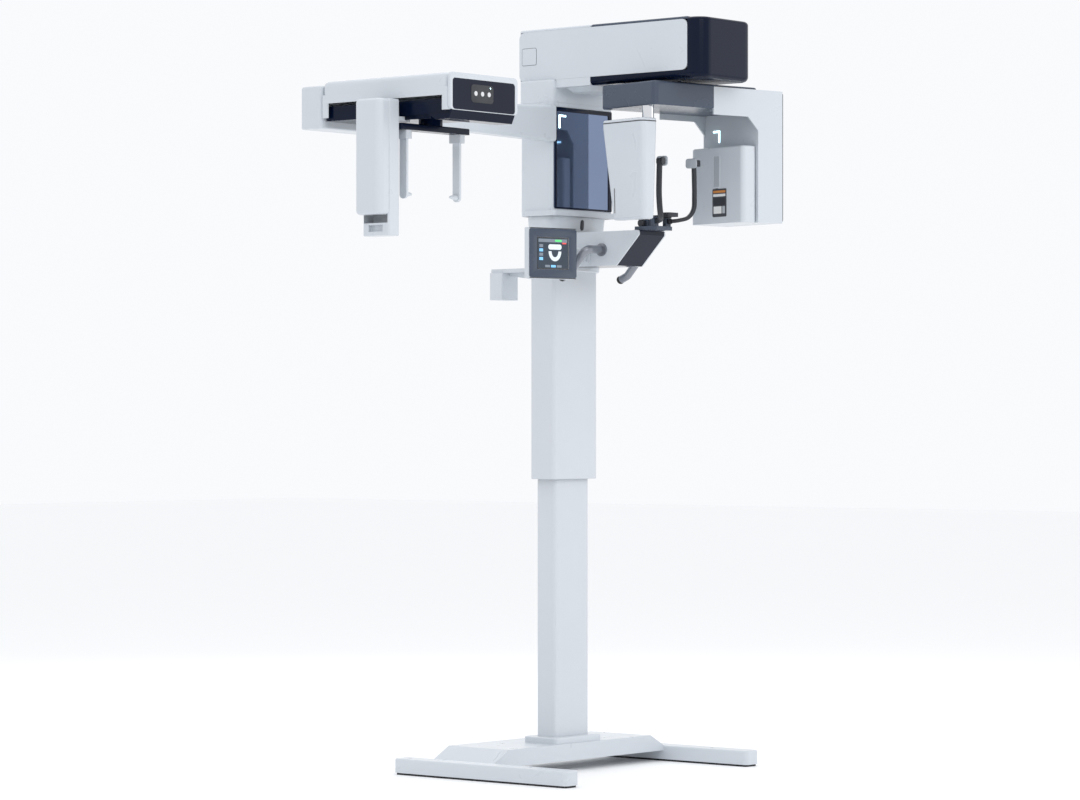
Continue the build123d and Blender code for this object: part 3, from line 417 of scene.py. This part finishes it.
# Button-head screws with a hex socket, one on each vertex of the given points.
def makeScrewTree(paint):
    tree = bpy.data.node_groups.new("screwTree", "GeometryNodeTree")
    tree.interface.new_socket("Geometry", in_out="INPUT", socket_type="NodeSocketGeometry")
    tree.interface.new_socket("Geometry", in_out="OUTPUT", socket_type="NodeSocketGeometry")
    addInput(tree, "Head Radius", "NodeSocketFloat", 0.004)
    addInput(tree, "Head Height", "NodeSocketFloat", 0.0022)
    addInput(tree, "Turn", "NodeSocketVector", (0, 0, 0))
    nodes = tree.nodes
    start = nodes.new("NodeGroupInput")
    end = nodes.new("NodeGroupOutput")
    head = nodes.new("GeometryNodeMeshCone")
    head.inputs["Vertices"].default_value = 20
    head.inputs["Side Segments"].default_value = 1
    slim = nodes.new("ShaderNodeMath")
    slim.operation = "MULTIPLY"
    slim.inputs[1].default_value = 0.72
    hexKey = nodes.new("GeometryNodeMeshCylinder")
    hexKey.inputs["Vertices"].default_value = 6
    small = nodes.new("ShaderNodeMath")
    small.operation = "MULTIPLY"
    small.inputs[1].default_value = 0.42
    lift = nodes.new("GeometryNodeTransform")
    liftBy = nodes.new("ShaderNodeCombineXYZ")
    cut = nodes.new("GeometryNodeMeshBoolean")
    cut.operation = "DIFFERENCE"
    spread = nodes.new("GeometryNodeInstanceOnPoints")
    toTurn = nodes.new("FunctionNodeEulerToRotation")
    real = nodes.new("GeometryNodeRealizeInstances")
    coat = nodes.new("GeometryNodeSetMaterial")
    coat.inputs["Material"].default_value = paint
    link = tree.links.new
    link(start.outputs["Head Radius"], head.inputs["Radius Bottom"])
    link(start.outputs["Head Radius"], slim.inputs[0])
    link(slim.outputs[0], head.inputs["Radius Top"])
    link(start.outputs["Head Height"], head.inputs["Depth"])
    link(start.outputs["Head Radius"], small.inputs[0])
    link(small.outputs[0], hexKey.inputs["Radius"])
    link(start.outputs["Head Height"], hexKey.inputs["Depth"])
    link(start.outputs["Head Height"], liftBy.inputs["Z"])
    link(hexKey.outputs["Mesh"], lift.inputs["Geometry"])
    link(liftBy.outputs["Vector"], lift.inputs["Translation"])
    link(head.outputs["Mesh"], cut.inputs["Mesh 1"])
    link(lift.outputs["Geometry"], cut.inputs["Mesh 2"])
    link(start.outputs["Geometry"], spread.inputs["Points"])
    link(cut.outputs["Mesh"], spread.inputs["Instance"])
    link(start.outputs["Turn"], toTurn.inputs["Euler"])
    link(toTurn.outputs["Rotation"], spread.inputs["Rotation"])
    link(spread.outputs["Instances"], real.inputs["Geometry"])
    link(real.outputs["Geometry"], coat.inputs["Geometry"])
    link(coat.outputs["Geometry"], end.inputs["Geometry"])
    return tree


# A stack of rounded slats that starts at the origin and climbs.
def makeSlatTree(paint):
    tree = bpy.data.node_groups.new("slatTree", "GeometryNodeTree")
    tree.interface.new_socket("Geometry", in_out="INPUT", socket_type="NodeSocketGeometry")
    tree.interface.new_socket("Geometry", in_out="OUTPUT", socket_type="NodeSocketGeometry")
    addInput(tree, "Count", "NodeSocketInt", 8)
    addInput(tree, "Pitch", "NodeSocketFloat", 0.01)
    addInput(tree, "Slat Width", "NodeSocketFloat", 0.1)
    addInput(tree, "Slat Radius", "NodeSocketFloat", 0.002)
    nodes = tree.nodes
    start = nodes.new("NodeGroupInput")
    end = nodes.new("NodeGroupOutput")
    line = nodes.new("GeometryNodeMeshLine")
    step = nodes.new("ShaderNodeCombineXYZ")
    bar = nodes.new("GeometryNodeMeshCylinder")
    bar.inputs["Vertices"].default_value = 14
    lay = nodes.new("GeometryNodeTransform")
    lay.inputs["Rotation"].default_value = (0, math.radians(90), 0)
    spread = nodes.new("GeometryNodeInstanceOnPoints")
    real = nodes.new("GeometryNodeRealizeInstances")
    coat = nodes.new("GeometryNodeSetMaterial")
    coat.inputs["Material"].default_value = paint
    link = tree.links.new
    link(start.outputs["Count"], line.inputs["Count"])
    link(start.outputs["Pitch"], step.inputs["Y"])
    link(step.outputs["Vector"], line.inputs["Offset"])
    link(start.outputs["Slat Radius"], bar.inputs["Radius"])
    link(start.outputs["Slat Width"], bar.inputs["Depth"])
    link(bar.outputs["Mesh"], lay.inputs["Geometry"])
    link(line.outputs["Mesh"], spread.inputs["Points"])
    link(lay.outputs["Geometry"], spread.inputs["Instance"])
    link(spread.outputs["Instances"], real.inputs["Geometry"])
    link(real.outputs["Geometry"], coat.inputs["Geometry"])
    link(coat.outputs["Geometry"], end.inputs["Geometry"])
    return tree


screwTree = makeScrewTree(finishes["steel"])
slatTree = makeSlatTree(extra["shadowLine"])


def growTree(name, tree, spots, values, placing, finish):
    mesh = bpy.data.meshes.new(name + "Seed")
    mesh.from_pydata(spots, [], [])
    seed = bpy.data.objects.new(name + "Seed", mesh)
    bpy.context.scene.collection.objects.link(seed)
    grown = seed.modifiers.new("grow", "NODES")
    grown.node_group = tree
    for socket in tree.interface.items_tree:
        if socket.in_out == "INPUT" and socket.name in values:
            grown[socket.identifier] = values[socket.name]
    ready = seed.evaluated_get(bpy.context.evaluated_depsgraph_get())
    result = bpy.data.meshes.new_from_object(ready)
    seed.modifiers.remove(grown)
    bpy.data.objects.remove(seed)
    result.transform(placing)
    tidyMesh(result)
    return meshPiece(name, result, finish)


def screws(name, spots, placing, body, radius=0.004):
    values = {"Head Radius": radius, "Head Height": radius * 0.5}
    piece = growTree(name, screwTree, spots, values, placing, finishes["steel"])
    return finishPiece(piece, body)


plain = Matrix.Identity(4)
gantryTurn = math.radians(-11.3)
gantryAxis = Vector(joints["gantry_rotation"]["pos_m"])
gantryBase = Matrix.Translation(gantryAxis) @ Matrix.Rotation(gantryTurn, 4, "Z")
gantryBase.translation.z = 0
displayTurn = math.radians(-13)
screenLow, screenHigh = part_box("display_screen")
displayBase = Matrix.Translation((screenLow + screenHigh) / 2) @ Matrix.Rotation(displayTurn, 4, "Z")

# ---- carriage: corner light, mirror border, rear vents and screws, status window

carriage = {
    "armLong": 0.041,
    "armWide": 0.033,
    "stroke": 0.0055,
    "inset": 0.022,
    "drop": 0.024,
    "proud": 0.0016,
    "border": 0.016,
}


# A bracket-shaped light; flip mirrors it left to right.
def cornerLight(name, settings, placing, body, flip=1):
    wide, long, stroke = settings["armWide"], settings["armLong"], settings["stroke"]
    corners = [(0, 0), (wide, 0), (wide, -stroke), (stroke, -stroke), (stroke, -long), (0, -long)]
    outline = [(flip * x, y) for x, y in corners]
    piece = flatShape(name, [outline], settings["proud"], placing, extra["glowIce"], edge=0.0003)
    return finishPiece(piece, body)


def dressCarriage():
    low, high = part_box("mirror_panel")
    spot = Vector((low.x + carriage["inset"], low.y, high.z - carriage["drop"]))
    cornerLight("carriageLight", carriage, onFace(plain, spot, "front"), "lift")
    middle = Vector((0, low.y, (low.z + high.z) / 2))
    wide, tall = high.x - low.x, high.z - low.z
    border = carriage["border"]
    aside = (-0.2 * border, -0.25 * border)
    rim = [
        roundedOutline(wide - 0.0006, tall - 0.0006, 0.004),
        roundedOutline(wide - 2 * border, tall - 1.2 * border, 0.003, aside),
    ]
    placing = onFace(plain, middle, "front")
    piece = flatShape("mirrorBorder", rim, 0.0009, placing, finishes["navy_gloss"], edge=0.0003)
    finishPiece(piece, "lift")
    shellLow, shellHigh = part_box("carriage_shell")
    vent = {"Count": 14, "Pitch": 0.009, "Slat Width": 0.15, "Slat Radius": 0.0018}
    spot = Vector((0, shellHigh.y, shellLow.z + 0.1))
    placing = onFace(plain, spot, "back")
    piece = growTree("carriageVent", slatTree, [(0, 0, 0)], vent, placing, extra["shadowLine"])
    finishPiece(piece, "lift")
    wide, tall = (shellHigh.x - shellLow.x) / 2 - 0.03, (shellHigh.z - shellLow.z) / 2 - 0.02
    middle = Vector((0, shellHigh.y, (shellLow.z + shellHigh.z) / 2))
    spots = [(sx * wide, sy * tall, 0.0005) for sx in (-1, 1) for sy in (-1, 0, 1)]
    screws("carriageScrews", spots, onFace(plain, middle, "back"), "lift")


def dressLowerCover():
    placing = onSurface("lower_cover", plain, (0, -1, 1.684), (0, 1, 0))
    outer = roundedOutline(0.017, 0.033, 0.0084)
    inner = roundedOutline(0.0135, 0.0295, 0.0067)
    rim = flatShape("rim", [outer], 0.0008, placing, extra["shadowLine"], edge=0.0003)
    pane = flatShape("pane", [inner], 0.0012, placing, finishes["dark_plastic"], edge=0.0004)
    finishPiece(gather("statusWindow", [rim, pane]), "lift")


dressCarriage()
dressLowerCover()

# ---- top arm: access covers and rear screws

armDetail = {"coverWide": 0.056, "coverTall": 0.051, "coverRear": 0.012, "coverDrop": 0.05, "gap": 0.0012}


def dressArm():
    low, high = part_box("arm_sides")
    for side, facing in ((-1, "left"), (1, "right")):
        face = low.x if side < 0 else high.x
        centre = Vector((
            face,
            high.y - armDetail["coverRear"] - armDetail["coverWide"] / 2,
            high.z - armDetail["coverDrop"] - armDetail["coverTall"] / 2,
        ))
        placing = onFace(plain, centre, facing)
        wide, tall, gap = armDetail["coverWide"], armDetail["coverTall"], armDetail["gap"]
        outline = roundedOutline(wide, tall, 0.005)
        rim = [roundedOutline(wide + 2 * gap, tall + 2 * gap, 0.006), outline]
        shadow = flatShape("gap", rim, 0.0003, placing, extra["shadowLine"])
        lid = flatShape("lid", [outline], 0.0008, placing, finishes["white_paint"], edge=0.0003)
        piece = gather("accessCoverLeft" if side < 0 else "accessCoverRight", [shadow, lid])
        finishPiece(piece, "lift")
    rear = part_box("arm_rear_cover")[1].y
    middle = Vector((0, rear, (low.z + high.z) / 2))
    spots = [(sx * 0.1, sy * 0.055, 0.0005) for sx in (-1, 1) for sy in (-1, 1)]
    screws("armRearScrews", spots, onFace(plain, middle, "back"), "lift")


dressArm()

# ---- rotating unit: corner light, beam window, type plate, rims and vents

tubeDetail = {
    "light": {"armLong": 0.036, "armWide": 0.03, "stroke": 0.005, "proud": 0.0012},
    "plateWide": 0.064,
    "plateTall": 0.086,
    "plateLow": 0.02,
}


def dressTubeHead():
    boxLow, boxHigh = localBox("tube_box", gantryBase)
    headLow, headHigh = localBox("tubehead_shell", gantryBase)
    faceX = boxHigh.x
    spot = Vector((faceX, 0.05, boxHigh.z + 0.056))
    cornerLight("tubeLight", tubeDetail["light"], onFace(gantryBase, spot, "left"), "gantry", flip=-1)
    window = {"wide": 0.026, "low": boxLow.z + 0.112, "high": boxHigh.z - 0.028}
    centre = Vector((boxLow.x, 0, (window["low"] + window["high"]) / 2))
    placing = onFace(gantryBase, centre, "left")
    tall = window["high"] - window["low"]
    outline = roundedOutline(window["wide"], tall, 0.003)
    frameRing = [roundedOutline(window["wide"] + 0.008, tall + 0.008, 0.006), outline]
    ring = flatShape("ring", frameRing, 0.0016, placing, finishes["white_paint"], edge=0.0005)
    pane = flatShape("pane", [outline], 0.0008, placing, extra["lightGrey"])
    finishPiece(gather("beamWindow", [ring, pane]), "gantry")
    wide, tall = tubeDetail["plateWide"], tubeDetail["plateTall"]
    centre = Vector((boxLow.x, -0.014, boxLow.z + tubeDetail["plateLow"] + tall / 2))
    placing = onFace(gantryBase, centre, "left")
    lifted = placing @ Matrix.Translation((0, 0, 0.001))
    outline = roundedOutline(wide, tall, 0.004)
    parts = [flatShape("plate", [outline], 0.001, placing, extra["shadowLine"], edge=0.0003)]
    for x, y, w, h, paint in (
        (0, 0.034, 0.056, 0.007, extra["orange"]),
        (0, 0.023, 0.056, 0.008, extra["paper"]),
        (0, 0.004, 0.05, 0.022, finishes["dark_plastic"]),
        (-0.008, -0.022, 0.036, 0.022, extra["paper"]),
        (0.02, -0.022, 0.012, 0.022, extra["lightGrey"]),
    ):
        parts.append(flatShape("field", [roundedOutline(w, h, 0.0015, (x, y))], 0.0004, lifted, paint))
    finishPiece(gather("typePlate", parts), "gantry")
    edge = Vector((headHigh.x, (headLow.y + headHigh.y) / 2, (headLow.z + headHigh.z) / 2))
    placing = onFace(gantryBase, edge, "right")
    outline = roundedOutline(headHigh.y - headLow.y - 0.001, headHigh.z - headLow.z - 0.001, 0.012)
    cap = flatShape("tubeBackCover", [outline], 0.0035, placing, finishes["navy_gloss"], edge=0.0012)
    finishPiece(cap, "gantry")
    placing = placing @ Matrix.Translation((0, 0, 0.0033))
    spots = [(sx * 0.1, sy * 0.17, 0.0005) for sx in (-1, 1) for sy in (-1, 0, 1)]
    screws("tubeRearScrews", spots, placing, "gantry")
    vent = {"Count": 12, "Pitch": 0.01, "Slat Width": 0.13, "Slat Radius": 0.0018}
    spot = Vector((headHigh.x + 0.0034, 0, headLow.z + 0.07))
    placing = onFace(gantryBase, spot, "right")
    piece = growTree("tubeVent", slatTree, [(0, 0, 0)], vent, placing, extra["shadowLine"])
    finishPiece(piece, "gantry")


def dressDetector():
    low, high = localBox("detector_shell", gantryBase)
    middleX, middleY = (low.x + high.x) / 2, (low.y + high.y) / 2
    wide, deep = high.x - low.x, high.y - low.y
    spot = Vector((middleX, middleY, high.z - 0.0112))
    rim = [
        roundedOutline(wide + 0.0008, deep + 0.0008, 0.0144),
        roundedOutline(wide - 0.002, deep - 0.002, 0.013),
    ]
    piece = flatShape("detectorRim", rim, 0.0032, onFace(gantryBase, spot, "up"), extra["shadowLine"])
    finishPiece(piece, "detector")
    cap = flatShape(
        "detectorCap", [roundedOutline(wide - 0.016, deep - 0.016, 0.01)], 0.001,
        onFace(gantryBase, Vector((middleX, middleY, high.z - 0.0004)), "up"), finishes["slate"], edge=0.0003,
    )
    finishPiece(cap, "detector")
    # A slot in the detector's side: a silver edge round a flat dark sheet of painted shade that makes the slot
    # look recessed.
    placing = onSurface("detector_shell", gantryBase, (-1, 0.04, 1.741), (1, 0, 0))
    edge = [roundedOutline(0.0056, 0.078, 0.0027), roundedOutline(0.0034, 0.0756, 0.0016)]
    parts = [
        flatShape("edge", edge, 0.0007, placing, extra["silver"], edge=0.0002),
        flatShape("groove", [roundedOutline(0.0034, 0.0756, 0.0016)], 0.0003, placing, extra["shadowLine"]),
    ]
    finishPiece(gather("detectorGroove", parts), "detector")


dressTubeHead()
dressDetector()
print("carriage, arm and rotating unit dressed")

# ---- control display

screenDesign = {"margin": 0.006, "step": 0.0003, "film": 0.0002}


def dressDisplay():
    low, high = localBox("display_housing", displayBase)
    glassLow, glassHigh = localBox("display_screen", displayBase)
    faceY = low.y
    wide, tall = high.x - low.x, high.z - low.z
    glassWide, glassTall = glassHigh.x - glassLow.x, glassHigh.z - glassLow.z
    placing = onFace(displayBase, Vector((0, faceY, 0)), "front")
    outer = roundedOutline(wide - 0.001, tall - 0.007, 0.007)
    inner = roundedOutline(glassWide + 0.001, glassTall + 0.001, 0.003)
    bezel = flatShape("face", [outer, inner], 0.0012, placing, finishes["slate"], edge=0.0004)
    parts = [bezel]
    for sign in (-1, 1):
        strip = roundedOutline(wide - 0.004, 0.0022, 0.001, (0, sign * (tall / 2 - 0.0018)))
        parts.append(flatShape("strip", [strip], 0.001, placing, finishes["dark_plastic"]))
    finishPiece(gather("displayBezel", parts), "display")
    base = onFace(displayBase, Vector((0, glassLow.y, 0)), "front")
    up = Matrix.Translation((0, 0, screenDesign["step"]))

    def field(x, y, w, h, paint, layer=1, radius=0.0008):
        lifted = base @ Matrix.Translation((0, 0, screenDesign["step"] * layer))
        return flatShape("field", [roundedOutline(w, h, radius, (x, y))], screenDesign["film"], lifted, paint)

    edge = screenDesign["margin"]
    parts = [field(0, 0, glassWide - edge, glassTall - edge, extra["uiDark"], 0)]
    parts.append(field(0, 0.038, 0.108, 0.010, extra["uiGrey"]))
    parts.append(field(0.021, 0.038, 0.026, 0.006, extra["uiGreen"], 2, 0.0028))
    parts.append(field(0.043, 0.0305, 0.016, 0.004, extra["uiRed"], 2, 0.0018))
    for k in range(4):
        paint = extra["uiBlue"] if k % 2 else extra["uiGrey"]
        parts.append(field(-0.044, 0.022 - 0.013 * k, 0.014, 0.009, paint))
    for k in range(3):
        paint = extra["uiBlue"] if k == 1 else extra["uiGrey"]
        parts.append(field(-0.02 + 0.022 * k, -0.039, 0.018, 0.007, paint))
    arch = []
    for k in range(17):
        angle = math.radians(180 + 180 * k / 16)
        arch.append((0.008 + 0.024 * math.cos(angle), 0.006 + 0.03 * math.sin(angle)))
    for k in range(17):
        angle = math.radians(360 - 180 * k / 16)
        arch.append((0.008 + 0.013 * math.cos(angle), 0.006 + 0.018 * math.sin(angle)))
    parts.append(flatShape("arch", [arch], screenDesign["film"], base @ up, extra["uiPale"]))
    crown = roundedOutline(0.05, 0.016, 0.007, (0.008, 0.019))
    parts.append(flatShape("crown", [crown], screenDesign["film"], base @ up, extra["uiPale"]))
    finishPiece(gather("screenPicture", parts), "display")


dressDisplay()

# ---- patient support: knobs, grip caps, pads


# Points of a smooth line through the given places.
def smoothLine(places, steps=10):
    places = [Vector(place) for place in places]
    line = []
    for k in range(len(places) - 1):
        before = places[max(k - 1, 0)]
        after = places[min(k + 2, len(places) - 1)]
        start, end = places[k], places[k + 1]
        for step in range(steps):
            t = step / steps
            line.append(0.5 * (
                2 * start + (end - before) * t + (2 * before - 5 * start + 4 * end - after) * t * t
                + (3 * start - before - 3 * end + after) * t * t * t
            ))
    line.append(places[-1])
    return line


# An outline carried along a line, with both ends closed.
def carried(name, line, outline, finish):
    shape = bmesh.new()
    rings = []
    side = Vector((0, 1, 0))
    for k, point in enumerate(line):
        ahead = (line[min(k + 1, len(line) - 1)] - line[max(k - 1, 0)]).normalized()
        side = (side - ahead * side.dot(ahead)).normalized()
        across = ahead.cross(side)
        shrink = 0.86 if k in (0, len(line) - 1) else 1
        rings.append([shape.verts.new(point + (side * x + across * y) * shrink) for x, y in outline])
    count = len(outline)
    for low, high in zip(rings, rings[1:]):
        for k in range(count):
            shape.faces.new((low[k], low[(k + 1) % count], high[(k + 1) % count], high[k]))
    shape.faces.new(rings[0])
    shape.faces.new(rings[-1])
    mesh = bpy.data.meshes.new(name)
    shape.to_mesh(mesh)
    shape.free()
    tidyMesh(mesh)
    return meshPiece(name, mesh, finish)


temple = {
    "places": [
        (0.030, -0.4, 1.686),
        (0.046, -0.418, 1.689),
        (0.068, -0.436, 1.698),
        (0.0835, -0.445, 1.724),
        (0.087, -0.445, 1.765),
        (0.086, -0.445, 1.815),
        (0.084, -0.445, 1.866),
    ],
    "wide": 0.017,
    "thick": 0.0115,
    "hub": [(0.0075, 0), (0.0085, 0.0015), (0.0085, 0.009), (0.007, 0.0105), (0.003, 0.011)],
    "pin": [(0.0034, 0), (0.0038, 0.0006), (0.0038, 0.0145)],
    "steps": 28,
    "padDrop": 0.022,
}


def dressTemple(node, body, side, top):
    line = smoothLine([(x * side, y, z) for x, y, z in temple["places"]])
    outline = roundedOutline(temple["wide"], temple["thick"], 0.0035, steps=3)
    parts = [carried("bow", line, outline, finishes["dark_plastic"])]
    dark = finishes["dark_plastic"]
    hub = Matrix.Translation((0.030 * side, -0.3905, 1.686)) @ facings["front"]
    parts.append(turnedShape("hub", temple["hub"], hub, dark, temple["steps"]))
    pin = Matrix.Translation((0.030 * side, -0.3765, 1.686)) @ facings["front"]
    parts.append(turnedShape("pin", temple["pin"], pin, finishes["steel"], temple["steps"]))
    height = top - temple["padDrop"]
    clamp = onFace(plain, Vector((0.087 * side, -0.4575, height)), "front")
    parts.append(flatShape("clamp", [roundedOutline(0.017, 0.02, 0.004)], 0.005, clamp, dark, edge=0.0015))
    facing = "left" if side > 0 else "right"
    carrier = onFace(plain, Vector((0.0835 * side, -0.445, height)), facing)
    outline = roundedOutline(0.03, 0.018, 0.005)
    parts.append(flatShape("carrier", [outline], 0.009, carrier, dark, edge=0.002))
    pad = onFace(plain, Vector((0.0745 * side, -0.445, height)), facing)
    outline = roundedOutline(0.042, 0.03, 0.009)
    parts.append(flatShape("pad", [outline], 0.0055, pad, extra["lightGrey"], edge=0.0022))
    piece = gather("templeBowLeft" if side < 0 else "templeBowRight", parts)
    finishPiece(piece, body)
    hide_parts(node)


knob = {"radius": 0.013, "length": 0.014, "aside": 0.022, "flutes": 15}
grip = {"radius": 0.0125, "end": (0.142, -0.112, 1.518), "slope": math.atan2(12, 28), "overlap": 0.004}


def dressSupport():
    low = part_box("support_block")[0]
    radius, length = knob["radius"], knob["length"]
    profile = [(0.006, 0), (0.006, 0.004), (radius, 0.005), (radius, length - 0.002), (radius * 0.8, length)]
    dark = finishes["dark_plastic"]
    for side, facing, name in ((-1, "left", "sideKnobLeft"), (1, "right", "sideKnobRight")):
        placing = onFace(plain, Vector((knob["aside"] * side, -0.333, low.z + 0.023)), facing)
        piece = turnedShape(name, profile, placing, dark, 60, knob["flutes"], 0.09)
        finishPiece(piece, "lift")
    radius = grip["radius"]
    capProfile = [
        (radius + 0.0003, 0),
        (radius + 0.0006, 0.003),
        (radius, 0.007),
        (radius * 0.8, 0.0105),
        (radius * 0.4, 0.0125),
        (0.0005, 0.013),
    ]
    for side, name in ((-1, "gripCapLeft"), (1, "gripCapRight")):
        end = Vector((grip["end"][0] * side, grip["end"][1], grip["end"][2]))
        tilt = Matrix.Rotation(-grip["slope"], 4, "X") @ Matrix.Rotation(math.radians(-90), 4, "X")
        placing = Matrix.Translation(end) @ tilt @ Matrix.Translation((0, 0, -grip["overlap"]))
        piece = turnedShape(name, capProfile, placing, finishes["rubber_black"], 32)
        finishPiece(piece, "lift")
    for node, body, side in (("temple_arm_left", "temple_left", -1), ("temple_arm_right", "temple_right", 1)):
        dressTemple(node, body, side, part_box(node)[1].z)


dressSupport()

# ---- cephalometric unit: white front frame, key plate, sensor window, rear screws


def dressCeph():
    coverLow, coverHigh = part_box("ceph_cover")
    panelLow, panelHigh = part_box("ceph_front_panel")
    centre = Vector(((coverLow.x + coverHigh.x) / 2, coverLow.y, (coverLow.z + coverHigh.z) / 2))
    outerWide, outerTall = coverHigh.x - coverLow.x, coverHigh.z - coverLow.z
    panelWide, panelTall = panelHigh.x - panelLow.x, panelHigh.z - panelLow.z
    panelDrop = (panelLow.z + panelHigh.z) / 2 - centre.z
    rim = [
        roundedOutline(outerWide, outerTall, 0.014),
        roundedOutline(panelWide - 0.006, panelTall - 0.004, 0.01, (0, panelDrop)),
    ]
    depth = coverLow.y - panelLow.y
    placing = onFace(plain, centre, "front")
    piece = flatShape("cephFrame", rim, depth + 0.0012, placing, finishes["white_paint"], edge=0.001)
    finishPiece(piece, "lift")
    keys = [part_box(name) for name in ("key_1", "key_2", "key_3")]
    middleX = sum((low.x + high.x) / 2 for low, high in keys) / 3
    middleZ = (keys[0][0].z + keys[0][1].z) / 2
    holes = [circleOutline(0.0078, ((low.x + high.x) / 2 - middleX, 0)) for low, high in keys]
    placing = onFace(plain, Vector((middleX, panelLow.y, middleZ)), "front")
    outlines = [roundedOutline(0.094, 0.05, 0.01)] + holes
    plate = flatShape("plate", outlines, 0.0009, placing, finishes["dark_plastic"], edge=0.0003)
    lamp = flatShape("lamp", [circleOutline(0.0018, (0.034, 0.018))], 0.0011, placing, extra["glowIce"])
    finishPiece(gather("keyPlate", [plate, lamp]), "lift")
    headLow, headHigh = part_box("sensor_cover")
    middleY = (headLow.y + headHigh.y) / 2
    faceX = headHigh.x + 0.046
    centre = Vector((faceX, middleY, 1.78))
    placing = onFace(plain, centre, "right")
    inner = roundedOutline(0.018, 0.238, 0.004)
    rim = [roundedOutline(0.03, 0.25, 0.008), inner]
    ring = flatShape("ring", rim, 0.001, placing, finishes["slate"], edge=0.0003)
    pane = flatShape("pane", [inner], 0.0006, placing, finishes["dark_plastic"])
    finishPiece(gather("sensorWindow", [ring, pane]), "sensor_head")
    rearLow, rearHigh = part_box("ceph_rear_box")
    centre = (rearLow + rearHigh) / 2
    centre.y = rearHigh.y
    placing = onFace(plain, centre, "back")
    spots = [(sx * 0.12, sy * 0.045, 0.0005) for sx in (-1, 1) for sy in (-1, 1)]
    screws("cephRearScrews", spots, placing, "lift")


dressCeph()
print("display, support and side unit dressed")
